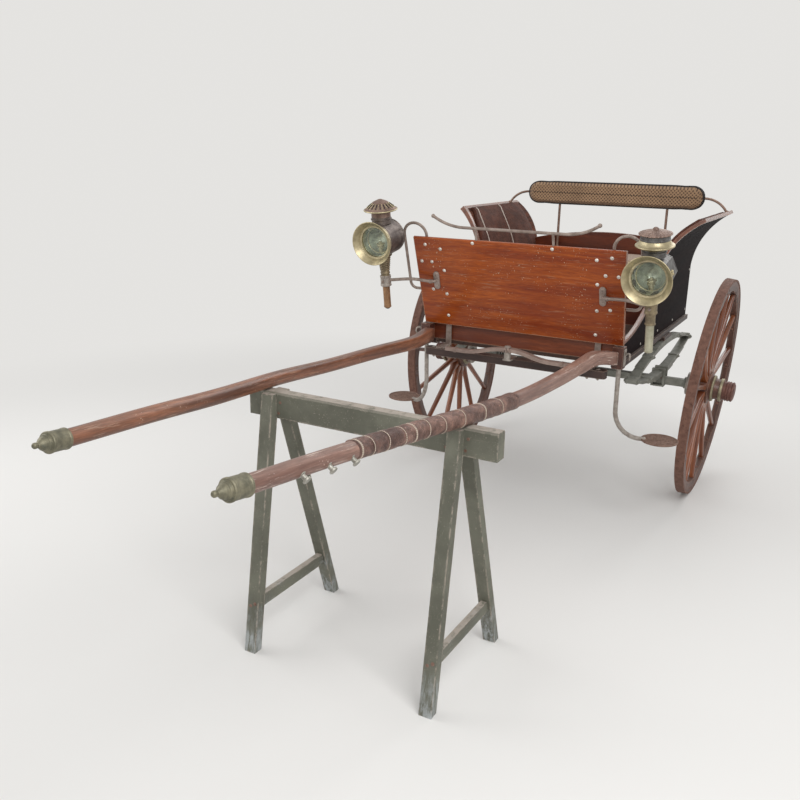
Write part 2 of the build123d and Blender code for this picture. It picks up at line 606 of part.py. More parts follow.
with BuildPart() as tail_straps:
    for side, hand in SIDES:
        with BuildSketch(front_plane(BODY_REAR, hand * HINGE_Y, FLOOR_HIGH + 7)):
            with Locations((0, 70)):
                Rectangle(34, 140)
        extrude(amount=-4)
        for shift in (-12.0, 12.0):
            with BuildSketch(side_plane(hand * HINGE_Y + shift)):
                with BuildLine():
                    Polyline(
                        (BODY_REAR, FLOOR_HIGH + 20),
                        (BODY_REAR - 4, FLOOR_HIGH + 20),
                        (HINGE_U - KNUCKLE_RADIUS + 1, HINGE_V + 2),
                        (HINGE_U + KNUCKLE_RADIUS - 1, HINGE_V + 2),
                        (BODY_REAR, FLOOR_HIGH + 7),
                        close=True,
                    )
                make_face()
                with Locations((HINGE_U, HINGE_V)):
                    Circle(KNUCKLE_RADIUS)
                with Locations((HINGE_U, HINGE_V)):
                    Circle(3.5, mode=Mode.SUBTRACT)
            extrude(amount=5, both=True)
tail_straps.part.label = "tail_straps"
export_step(tail_straps.part, "parts/tail_straps.step")

with BuildPart() as tail_hinge_pins:
    for side, hand in SIDES:
        with BuildSketch(side_plane(hand * HINGE_Y)):
            with Locations((HINGE_U, HINGE_V)):
                Circle(KNUCKLE_RADIUS)
        extrude(amount=6, both=True)
        with BuildSketch(side_plane(hand * HINGE_Y)):
            with Locations((HINGE_U, HINGE_V)):
                Circle(3)
        extrude(amount=20, both=True)
        with BuildSketch(front_plane(BODY_REAR, hand * HINGE_Y)):
            with Locations((0, (FLOOR_LOW + HINGE_V) / 2)):
                Rectangle(12, HINGE_V - FLOOR_LOW)
        extrude(amount=-5)
tail_hinge_pins.part.label = "tail_hinge_pins"
export_step(tail_hinge_pins.part, "parts/tail_hinge_pins.step")

# Full elliptic leaf springs: concentric leaves, each shorter than the one inside it.
SPRING_Y = BODY_HALF_WIDTH + 2.0
SPRING_WIDTH = 45.0
EYE_V = 130.0
SPRING_SAG = 68.0
LEAF = 7.0
LEAVES = 4
EYE_RADIUS = 17.0
AXLE_RISE = 6.0
AXLE_SQUARE = 38.0
half_span = SPRING_LENGTH / 2
arc_radius = (half_span**2 + SPRING_SAG**2) / (2 * SPRING_SAG)
arc_half_angle = degrees(asin(half_span / arc_radius))


def leaf_pack(turn):
    """One half of the spring from the side: turn +1 is the arched upper half, -1 the lower."""
    centre_v = EYE_V + turn * (SPRING_SAG - arc_radius)

    def at(radius, angle):
        return (radius * sin(radians(angle)), centre_v + turn * radius * cos(radians(angle)))

    with BuildSketch() as pack:
        for leaf in range(LEAVES):
            inner = arc_radius + leaf * LEAF
            outer = inner + LEAF
            reach = arc_half_angle * (1 - 0.22 * leaf)
            with BuildLine():
                ThreePointArc(at(inner, -reach), at(inner, 0), at(inner, reach))
                Line(at(inner, reach), at(outer, reach))
                ThreePointArc(at(outer, reach), at(outer, 0), at(outer, -reach))
                Line(at(outer, -reach), at(inner, -reach))
            make_face()
    return pack.sketch_local


with BuildPart() as springs_upper:
    for side, hand in SIDES:
        with BuildSketch(side_plane(hand * SPRING_Y)):
            add(leaf_pack(1))
            for end in (1, -1):
                with Locations((end * half_span, EYE_V + 4)):
                    Circle(EYE_RADIUS)
        extrude(amount=SPRING_WIDTH / 2, both=True)
springs_upper.part.label = "springs_upper"
export_step(springs_upper.part, "parts/springs_upper.step")

with BuildPart() as springs_lower:
    for side, hand in SIDES:
        with BuildSketch(side_plane(hand * SPRING_Y)):
            add(leaf_pack(-1))
        extrude(amount=SPRING_WIDTH / 2, both=True)
        add(springs_upper.part, mode=Mode.SUBTRACT)
springs_lower.part.label = "springs_lower"
export_step(springs_lower.part, "parts/springs_lower.step")

SPRING_TOP = EYE_V + SPRING_SAG + LEAF * LEAVES
SPRING_BOTTOM = EYE_V - SPRING_SAG - LEAF * LEAVES
AXLE_TOP = AXLE_RISE + AXLE_SQUARE / 2
with BuildPart() as spring_blocks:
    for side, hand in SIDES:
        with BuildSketch(level_plane(SPRING_TOP, 0, hand * SPRING_Y)):
            Rectangle(150, SPRING_WIDTH)
        extrude(amount=SILL_LOW - SPRING_TOP)
        with BuildSketch(level_plane(AXLE_TOP, 0, hand * SPRING_Y)):
            Rectangle(110, SPRING_WIDTH)
        extrude(amount=SPRING_BOTTOM - AXLE_TOP)
    add(springs_upper.part, mode=Mode.SUBTRACT)
    add(springs_lower.part, mode=Mode.SUBTRACT)
spring_blocks.part.label = "spring_blocks"
export_step(spring_blocks.part, "parts/spring_blocks.step")

# Axle: a square beam with cambered round arms inside the naves.
ARM_RADIUS = 19.0
ARM_REACH = 66.0
HALF_TRACK = TRACK / 2
AXLE_SHOULDER = HALF_TRACK - 112.0
TYRE_THICKNESS = 10.0
TYRE_WIDTH = 42.0
FELLOE_DEPTH = 48.0
FELLOE_WIDTH = 38.0
HUB_RADIUS = 82.0
FELLOE_OUTER = WHEEL_RADIUS - TYRE_THICKNESS
FELLOE_INNER = FELLOE_OUTER - FELLOE_DEPTH
NAVE_BACK = -80.0
camber_tilt = radians(CAMBER)
DISH = (FELLOE_INNER - HUB_RADIUS) * tan(camber_tilt)
COLLAR = NAVE_BACK - DISH - 1.5


def wheel_plane(hand, offset_out=0.0):
    """Plane of a wheel: the normal is the spin axis, pointing outward."""
    axis = Vector(0, hand * cos(camber_tilt), -sin(camber_tilt))
    centre = Vector(AXLE_X, hand * HALF_TRACK, WHEEL_CENTRE_Z)
    return Plane(origin=centre + axis * offset_out, x_dir=(1, 0, 0), z_dir=axis)


def lathe_plane(hand):
    """Plane through a wheel's axis: sketch x is the radius, sketch y runs outward along the axis."""
    wheel = wheel_plane(hand)
    return Plane(origin=wheel.origin, x_dir=wheel.x_dir, z_dir=wheel.x_dir.cross(wheel.z_dir))


with BuildPart() as axle:
    with BuildSketch(side_plane(0)):
        with Locations((0, AXLE_RISE)):
            RectangleRounded(AXLE_SQUARE, AXLE_SQUARE, 4)
    extrude(amount=AXLE_SHOULDER, both=True)
    for side, hand in SIDES:
        with BuildSketch(lathe_plane(hand)):
            with BuildLine():
                Polyline(
                    (0, COLLAR - 14),
                    (30, COLLAR - 14),
                    (30, COLLAR),
                    (ARM_RADIUS, COLLAR),
                    (ARM_RADIUS, ARM_REACH),
                    (0, ARM_REACH),
                    close=True,
                )
            make_face()
        revolve(axis=Axis(wheel_plane(hand).origin, wheel_plane(hand).z_dir))
axle.part.label = "axle"
export_step(axle.part, "parts/axle.step")

# Square U-clips that hold each spring to the axle.
CLIP = 10.0
with BuildPart() as axle_clips:
    for side, hand in SIDES:
        for place in (-1, 1):
            clip_u = place * (AXLE_SQUARE / 2 + 12)
            clip_top = EYE_V - SPRING_SAG + CLIP
            clip_low = AXLE_RISE - AXLE_SQUARE / 2 - 8
            with BuildSketch(front_plane(clip_u - CLIP / 2, hand * SPRING_Y)):
                with Locations((0, (clip_top + clip_low) / 2)):
                    RectangleRounded(SPRING_WIDTH + 2 * CLIP + 1, clip_top - clip_low, 4)
                with Locations((0, (clip_top - CLIP + clip_low) / 2)):
                    Rectangle(SPRING_WIDTH + 1, clip_top - CLIP - clip_low + 0.001, mode=Mode.SUBTRACT)
            extrude(amount=CLIP)
        with BuildSketch(level_plane(AXLE_RISE - AXLE_SQUARE / 2, 0, hand * SPRING_Y)):
            Rectangle(2 * (AXLE_SQUARE / 2 + 22), SPRING_WIDTH + 2 * CLIP + 1)
        extrude(amount=-8)
    add(springs_lower.part, mode=Mode.SUBTRACT)
    add(spring_blocks.part, mode=Mode.SUBTRACT)
axle_clips.part.label = "axle_clips"
export_step(axle_clips.part, "parts/axle_clips.step")

# Wheels: dished to match the camber, so that the lowest spoke stands upright.
SPOKES = 14
BORE_RADIUS = 20.0
# Nave outline, columns: radius, distance outward from the middle of the spoke feet.
NAVE_PROFILE = (
    (BORE_RADIUS, NAVE_BACK),
    (55.0, NAVE_BACK),
    (55.0, -66.0),
    (51.0, -64.0),
    (54.0, -50.0),
    (66.0, -40.0),
    (HUB_RADIUS, -32.0),
    (HUB_RADIUS, 32.0),
    (66.0, 40.0),
    (54.0, 54.0),
    (49.0, 80.0),
    (53.0, 82.0),
    (53.0, 96.0),
    (BORE_RADIUS, 96.0),
)
# Spoke sections, columns: share of the length from the nave, width, depth, corner radius.
SPOKE_SECTIONS = ((0.0, 29.0, 42.0, 12.0), (1.0, 24.0, 28.0, 11.0))
# Hub cap outline from the nave's outer face.
CAP_PROFILE = (
    (0.0, 0.0), (46.0, 0.0), (46.0, 14.0), (50.0, 17.0), (50.0, 44.0), (46.0, 50.0), (36.0, 54.0), (0.0, 55.0)
)

for side, hand in SIDES:
    wheel = wheel_plane(hand)
    spin = Axis(wheel.origin, wheel.z_dir)

    with BuildPart() as tyre:
        cone = TYRE_WIDTH / 2 * tan(camber_tilt)
        with BuildSketch(lathe_plane(hand)):
            with BuildLine():
                Polyline(
                    (FELLOE_OUTER, -TYRE_WIDTH / 2),
                    (WHEEL_RADIUS + cone, -TYRE_WIDTH / 2),
                    (WHEEL_RADIUS - cone, TYRE_WIDTH / 2),
                    (FELLOE_OUTER, TYRE_WIDTH / 2),
                    close=True,
                )
            make_face()
        revolve(axis=spin)
    tyre.part.label = f"tyre_{side}"
    export_step(tyre.part, f"parts/tyre_{side}.step")

    with BuildPart() as felloes:
        with BuildSketch(lathe_plane(hand)):
            with BuildLine():
                Polyline(
                    (FELLOE_OUTER, -FELLOE_WIDTH / 2),
                    (FELLOE_OUTER, FELLOE_WIDTH / 2),
                    (FELLOE_INNER + 9, FELLOE_WIDTH / 2),
                    (FELLOE_INNER, FELLOE_WIDTH / 2 - 9),
                    (FELLOE_INNER, 9 - FELLOE_WIDTH / 2),
                    (FELLOE_INNER + 9, -FELLOE_WIDTH / 2),
                    close=True,
                )
            make_face()
        revolve(axis=spin)
    felloes.part.label = f"felloes_{side}"
    export_step(felloes.part, f"parts/felloes_{side}.step")

    with BuildPart() as nave:
        with BuildSketch(lathe_plane(hand)):
            with BuildLine():
                Polyline(*((radius, along - DISH) for radius, along in NAVE_PROFILE), close=True)
            make_face()
        revolve(axis=spin)
    nave.part.label = f"nave_{side}"
    export_step(nave.part, f"parts/nave_{side}.step")

    with BuildPart() as spokes:
        for index in range(SPOKES):
            turn = 2 * pi * (index + 0.5) / SPOKES
            radial = wheel.x_dir * cos(turn) + wheel.y_dir * sin(turn)
            across = wheel.x_dir * -sin(turn) + wheel.y_dir * cos(turn)
            foot = wheel.origin + radial * (HUB_RADIUS - 6) - wheel.z_dir * DISH
            tip = wheel.origin + radial * (FELLOE_INNER + 3)
            run = (tip - foot).normalized()
            for share, width, depth, corner in SPOKE_SECTIONS:
                with BuildSketch(Plane(origin=foot + (tip - foot) * share, x_dir=across, z_dir=run)):
                    RectangleRounded(width, depth, corner)
            loft(ruled=True)
        with BuildSketch(wheel_plane(hand, -120)):
            Circle(FELLOE_INNER)
            Circle(HUB_RADIUS, mode=Mode.SUBTRACT)
        extrude(amount=240, mode=Mode.INTERSECT)
    spokes.part.label = f"spokes_{side}"
    export_step(spokes.part, f"parts/spokes_{side}.step")

    with BuildPart() as hub_cap:
        cap_seat = NAVE_PROFILE[-1][1] - DISH
        with BuildSketch(lathe_plane(hand)):
            with BuildLine():
                Polyline(*((radius, cap_seat + along) for radius, along in CAP_PROFILE), close=True)
            make_face()
        revolve(axis=spin)
        with BuildSketch(wheel_plane(hand, cap_seat)):
            Circle(ARM_RADIUS + 4)
        extrude(amount=18, mode=Mode.SUBTRACT)
    hub_cap.part.label = f"hub_cap_{side}"
    export_step(hub_cap.part, f"parts/hub_cap_{side}.step")

# Lamps: each hangs on an arm from a slotted plate on the dash, and the left one has slipped lower.
# Columns: side, hand, forward, height, drop from the lens centre to the arm's sleeve.
LAMPS = (("left", 1, 1030.0, 683.9, 136.0), ("right", -1, 1036.7, 742.6, 195.0))
LAMP_Y = 605.0
LAMP_LEAN = 9.5
BEZEL_RADIUS = 97.0
DRUM_RADIUS = 78.0
LENS_RADIUS = 67.0
# Turned outline about the lamp's upright axis, the same up to the chimney's neck.
# Columns: radius, height over the lens centre.
LAMP_STACK = ((0, -204), (20, -204), (20, -150), (30, -100), (30, -60), (43, -60), (43, 99))
# The two caps differ: a dome on a dark ring over a tray, and a wide perforated cone.
LAMP_CAPS = {
    "left": (
        (50, 103), (73, 112), (76, 116), (73, 120), (62, 122), (62, 146), (50, 158), (32, 169), (12, 176),
        (9, 183), (0, 183),
    ),
    "right": ((66, 108), (74, 113), (74, 119), (56, 143), (34, 164), (26, 170), (10, 175), (0, 176)),
}
# Flared bezel about the lens axis. Columns: distance forward, radius.
BEZEL_PROFILE = (
    (62, DRUM_RADIUS), (66, 82), (98, BEZEL_RADIUS), (101, BEZEL_RADIUS),
    (101, BEZEL_RADIUS - 4), (70, 70), (70, LENS_RADIUS), (62, LENS_RADIUS),
)


def lamp_frame(hand, u, v):
    """Frame of a lamp: z is its upright axis, x points forward through the lens."""
    lean = radians(LAMP_LEAN)
    ahead = FORWARD * cos(lean) - UPWARD * sin(lean)
    return Plane(origin=point(u, hand * LAMP_Y, v), x_dir=ahead, z_dir=FORWARD * sin(lean) + UPWARD * cos(lean))


def lamp_lathe(frame):
    """Upright plane through a lamp's axis: sketch x forward, sketch y up."""
    return Plane(origin=frame.origin, x_dir=frame.x_dir, z_dir=frame.x_dir.cross(frame.z_dir))


lamp_bodies = {}
for side, hand, u, v, drop in LAMPS:
    frame = lamp_frame(hand, u, v)
    with BuildPart() as lamp_body:
        with BuildSketch(lamp_lathe(frame)):
            with BuildLine():
                Polyline(*LAMP_STACK, *LAMP_CAPS[side], close=True)
            make_face()
        revolve(axis=Axis(frame.origin, frame.z_dir))
        with BuildSketch(Plane(origin=frame.origin - frame.x_dir * 72, x_dir=(0, 1, 0), z_dir=frame.x_dir)):
            if side == "left":
                RegularPolygon(DRUM_RADIUS, 8, rotation=22.5)
            else:
                Circle(DRUM_RADIUS)
        extrude(amount=134)
    lamp_body.part.label = f"lamp_body_{side}"
    export_step(lamp_body.part, f"parts/lamp_body_{side}.step")
    lamp_bodies[side] = lamp_body.part

with BuildPart() as lamp_bezels:
    for side, hand, u, v, drop in LAMPS:
        frame = lamp_frame(hand, u, v)
        with BuildSketch(lamp_lathe(frame)):
            with BuildLine():
                Polyline(*BEZEL_PROFILE, close=True)
            make_face()
        revolve(axis=Axis(frame.origin, frame.x_dir))
lamp_bezels.part.label = "lamp_bezels"
export_step(lamp_bezels.part, "parts/lamp_bezels.step")

with BuildPart() as lamp_lenses:
    for side, hand, u, v, drop in LAMPS:
        frame = lamp_frame(hand, u, v)
        with BuildSketch(Plane(origin=frame.origin + frame.x_dir * 62, x_dir=(0, 1, 0), z_dir=frame.x_dir)):
            Circle(LENS_RADIUS)
        extrude(amount=4)
lamp_lenses.part.label = "lamp_lenses"
export_step(lamp_lenses.part, "parts/lamp_lenses.step")

with BuildPart() as candle_tubes:
    for side, hand, u, v, drop in LAMPS:
        frame = lamp_frame(hand, u, v)
        with BuildSketch(Plane(origin=frame.origin - frame.z_dir * 325, x_dir=frame.x_dir, z_dir=frame.z_dir)):
            Circle(17)
        extrude(amount=121)
candle_tubes.part.label = "candle_tubes"
export_step(candle_tubes.part, "parts/candle_tubes.step")

PLATE_Y = BODY_HALF_WIDTH - 71.0
plate_rise = 224.0
with BuildPart() as lamp_brackets:
    for side, hand, u, v, drop in LAMPS:
        frame = lamp_frame(hand, u, v)
        with BuildSketch(DASH):
            with Locations((hand * PLATE_Y, plate_rise)):
                SlotOverall(86, 28, rotation=90)
        extrude(amount=8)
        sleeve = frame.origin - frame.z_dir * drop
        root = DASH.from_local_coords((hand * PLATE_Y, plate_rise, 4))
        run = (sleeve - root).normalized()
        with BuildSketch(Plane(origin=root, z_dir=run)):
            Circle(7)
        extrude(amount=(sleeve - root).length)
        with BuildSketch(Plane(origin=sleeve - frame.z_dir * 25, x_dir=frame.x_dir, z_dir=frame.z_dir)):
            Circle(29)
        extrude(amount=50)
        add(lamp_bodies[side], mode=Mode.SUBTRACT)
    add(candle_tubes.part, mode=Mode.SUBTRACT)
    add(dash_board.part, mode=Mode.SUBTRACT)
lamp_brackets.part.label = "lamp_brackets"
export_step(lamp_brackets.part, "parts/lamp_brackets.step")

# Steps: a curved iron from each corner block to an oval tread plate.
STEP_PLATE = (742.0, 640.0, -72.0)
STEP_ROD = 10.0
STEP_RADIUS = 80.0
with BuildPart() as steps:
    for side, hand in SIDES:
        head = Vector(856, hand * (BODY_HALF_WIDTH + 6), BLOCK_LOW)
        heel = Vector(STEP_PLATE[0] + 14, hand * (STEP_PLATE[1] - 60), STEP_PLATE[2] - 6)
        with BuildLine():
            stem = Line(point(*head), point(head.X - 8, head.Y, 70))
            TangentArc(stem @ 1, point(*heel), tangent=stem % 1)
        with BuildSketch(Plane(origin=point(*head), z_dir=stem % 0)):
            Circle(STEP_ROD)
        sweep(transition=Transition.ROUND)
        with BuildSketch(level_plane(STEP_PLATE[2], STEP_PLATE[0], hand * STEP_PLATE[1])):
            Circle(STEP_RADIUS)
        extrude(amount=-10)
    add(corner_blocks.part, mode=Mode.SUBTRACT)
steps.part.label = "steps"
export_step(steps.part, "parts/steps.step")

# Trestle under the shafts.
BEAM_DEPTH = 50.0
BEAM_HEIGHT = 88.0
BEAM_LOW_Y = -423.0
BEAM_HIGH_Y = 483.0
LEG_YS = (-333.0, 352.0)
LEG_WIDE = 36.0
LEG_THICK = 44.0
LEG_NOTCH = 14.0
beam_x = AXLE_X + TRESTLE_X


def shaft_underside(x):
    """Lowest point of the shaft above a place on the floor along the cart."""
    reach = (x - AXLE_X + 300.0 * LEAN_SIN) / LEAN_COS
    u, _, v, _, depth, _ = shaft_at(reach)
    return WHEEL_CENTRE_Z + u * LEAN_SIN + (v - depth / 2) * LEAN_COS


BEAM_CHAMFER = 6.0
BEAM_TOP = shaft_underside(beam_x - BEAM_DEPTH / 2 + BEAM_CHAMFER) - 0.3
with BuildPart() as trestle_beam:
    with BuildSketch(Plane(origin=(beam_x, 0, BEAM_TOP - BEAM_HEIGHT))):
        with Locations((0, (BEAM_LOW_Y + BEAM_HIGH_Y) / 2)):
            Rectangle(BEAM_DEPTH, BEAM_HIGH_Y - BEAM_LOW_Y)
    extrude(amount=BEAM_HEIGHT)
    chamfer(trestle_beam.edges().filter_by(Axis.Y).sort_by(Axis.Z)[-2:], BEAM_CHAMFER)
trestle_beam.part.label = "trestle_beam"
export_step(trestle_beam.part, "parts/trestle_beam.step")

legs = {}
for name, fore in (("front", 1), ("rear", -1)):
    with BuildPart() as trestle_legs:
        for leg_y in LEG_YS:
            foot = fore * TRESTLE_SPREAD / 2 + TRESTLE_SHIFT
            head = fore * (BEAM_DEPTH / 2 - LEG_NOTCH + LEG_WIDE / 2)
            with BuildSketch(Plane(origin=(beam_x, leg_y, 0), x_dir=(1, 0, 0), z_dir=(0, -1, 0))):
                with BuildLine():
                    Polyline(
                        (foot - LEG_WIDE / 2, 0),
                        (foot + LEG_WIDE / 2, 0),
                        (head + LEG_WIDE / 2, BEAM_TOP - 4),
                        (head - LEG_WIDE / 2, BEAM_TOP - 4),
                        close=True,
                    )
                make_face()
            extrude(amount=LEG_THICK / 2, both=True)
        add(trestle_beam.part, mode=Mode.SUBTRACT)
    trestle_legs.part.label = f"trestle_{name}_legs"
    export_step(trestle_legs.part, f"parts/trestle_{name}_legs.step")
    legs[name] = trestle_legs.part

STRETCHER_Z = 150.0
with BuildPart() as trestle_stretchers:
    for leg_y in LEG_YS:
        with BuildSketch(Plane(origin=(beam_x + TRESTLE_SHIFT + 15, leg_y, STRETCHER_Z))):
            Rectangle(TRESTLE_SPREAD - 90, 22)
        extrude(amount=42)
    add(legs["front"], mode=Mode.SUBTRACT)
    add(legs["rear"], mode=Mode.SUBTRACT)
trestle_stretchers.part.label = "trestle_stretchers"
export_step(trestle_stretchers.part, "parts/trestle_stretchers.step")

# Leather wrap bound round the left shaft where it takes the harness, pressed flat on the beam.
with BuildPart() as shaft_wrap:
    stations = [shaft_at(WRAP_REAR)]
    stations += [row for row in SHAFT_STATIONS if WRAP_REAR < row[0] < WRAP_FRONT]
    stations += [shaft_at(WRAP_FRONT)]
    for u, y, v, width, depth, corner in stations:
        with BuildSketch(front_plane(u, y, v)):
            RectangleRounded(
                width + 2 * WRAP_THICKNESS, depth + 2 * WRAP_THICKNESS, corner + WRAP_THICKNESS
            )
    loft(ruled=True)
    add(shafts["left"], mode=Mode.SUBTRACT)
    add(trestle_beam.part, mode=Mode.SUBTRACT)
    add(legs["rear"], mode=Mode.SUBTRACT)
shaft_wrap.part.label = "shaft_wrap_left"
export_step(shaft_wrap.part, "parts/shaft_wrap_left.step")
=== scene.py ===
"""Looks of a two-wheeled horse gig that stands with its shafts on a wooden trestle."""

from __future__ import annotations

import json
import logging
import math
import random
from dataclasses import dataclass
from enum import Enum
from typing import Callable, Sequence, Union

import bmesh
import bpy
from mathutils import Matrix, Vector
from mathutils.bvhtree import BVHTree


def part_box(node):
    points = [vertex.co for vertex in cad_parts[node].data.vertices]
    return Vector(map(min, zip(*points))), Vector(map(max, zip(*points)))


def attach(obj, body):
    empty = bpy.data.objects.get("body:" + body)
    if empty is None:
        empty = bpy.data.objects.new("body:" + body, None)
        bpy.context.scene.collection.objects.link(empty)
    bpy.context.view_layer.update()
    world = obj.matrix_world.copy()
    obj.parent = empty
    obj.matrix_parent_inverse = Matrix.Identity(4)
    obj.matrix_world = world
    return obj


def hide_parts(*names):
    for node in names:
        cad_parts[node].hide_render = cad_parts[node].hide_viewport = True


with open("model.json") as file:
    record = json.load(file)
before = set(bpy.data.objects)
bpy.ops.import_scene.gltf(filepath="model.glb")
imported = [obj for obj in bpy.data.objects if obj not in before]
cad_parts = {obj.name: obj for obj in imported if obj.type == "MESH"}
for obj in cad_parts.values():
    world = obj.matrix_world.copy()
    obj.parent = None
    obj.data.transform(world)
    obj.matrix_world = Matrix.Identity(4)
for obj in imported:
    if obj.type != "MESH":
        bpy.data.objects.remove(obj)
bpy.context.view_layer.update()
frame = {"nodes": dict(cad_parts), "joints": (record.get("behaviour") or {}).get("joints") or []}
log = logging.getLogger("gig")

Colour = tuple[float, float, float]
Point = Union[Vector, tuple[float, float, float]]
Outline = Sequence[tuple[float, float]]

HALF_WIDTH = 456.0
ACROSS = Vector((0.0, 1.0, 0.0))


# Shader arithmetic.


class Signal:
    """A shader socket that takes part in Python arithmetic."""

    def __init__(self, graph: Graph, socket: bpy.types.NodeSocket) -> None:
        """Wraps one output socket of a node tree."""
        self.graph = graph
        self.socket = socket

    @property
    def is_vector(self) -> bool:
        """Tells whether the socket carries three numbers."""
        return self.socket.type == "VECTOR"

    def _join(self, operation: str, other: Operand, swapped: bool = False) -> Signal:
        """Adds the node for one arithmetic step.

        Args:
            operation: the operation's name.
            other: the other operand.
            swapped: whether the other operand comes first.

        Returns:
            The result.
        """
        pair = (other, self) if swapped else (self, other)
        if any(isinstance(side, Signal) and side.is_vector for side in pair):
            return self.graph.vector_math(operation, *pair)
        return self.graph.math(operation, *pair)

    def __add__(self, other: Operand) -> Signal:
        """self + other."""
        return self._join("ADD", other)

    def __radd__(self, other: Operand) -> Signal:
        """other + self."""
        return self._join("ADD", other, True)

    def __sub__(self, other: Operand) -> Signal:
        """self - other."""
        return self._join("SUBTRACT", other)

    def __rsub__(self, other: Operand) -> Signal:
        """other - self."""
        return self._join("SUBTRACT", other, True)

    def __mul__(self, other: Operand) -> Signal:
        """self * other."""
        return self._join("MULTIPLY", other)

    def __rmul__(self, other: Operand) -> Signal:
        """other * self."""
        return self._join("MULTIPLY", other, True)

    def __truediv__(self, other: Operand) -> Signal:
        """self / other."""
        return self._join("DIVIDE", other)

    def __rtruediv__(self, other: Operand) -> Signal:
        """other / self."""
        return self._join("DIVIDE", other, True)

    def __pow__(self, other: Operand) -> Signal:
        """self ** other."""
        return self._join("POWER", other)

    def __abs__(self) -> Signal:
        """abs(self)."""
        return self.graph.math("ABSOLUTE", self)

    def least(self, other: Operand) -> Signal:
        """The smaller of self and other."""
        return self._join("MINIMUM", other)

    def most(self, other: Operand) -> Signal:
        """The larger of self and other."""
        return self._join("MAXIMUM", other)

    def step(self, low: float, high: float) -> Signal:
        """A smooth step from 0 at low to 1 at high.

        Args:
            low: the value where the step starts.
            high: the value where it ends; below low for a falling step.

        Returns:
            The step's value.
        """
        if high < low:
            return 1 - self.step(high, low)
        ends = {"Value": self, "From Min": low, "From Max": high}
        return self.graph.read("MapRange", "Result", {"interpolation_type": "SMOOTHSTEP"}, ends)

    def part(self, axis: str) -> Signal:
        """One component, X, Y or Z, of a vector."""
        return self.graph.read("SeparateXYZ", axis, {}, {"Vector": self})


Operand = Union[Signal, float, tuple[float, float, float]]


SEEING_RAYS = ("Camera", "Glossy", "Transmission")
BACKGROUND: Colour = (0.78, 0.77, 0.75)


class Coordinates(Enum):
    """Where a finish reads its position from."""

    CART = "cart"
    ROW = "row"
    GRAIN = "grain"


class Along(Enum):
    """The way that grain runs."""

    FORWARD = (0.07, 1.0, 1.0)
    ACROSS = (1.0, 0.07, 1.0)
    UP = (1.0, 1.0, 0.07)
    NONE = (1.0, 1.0, 1.0)


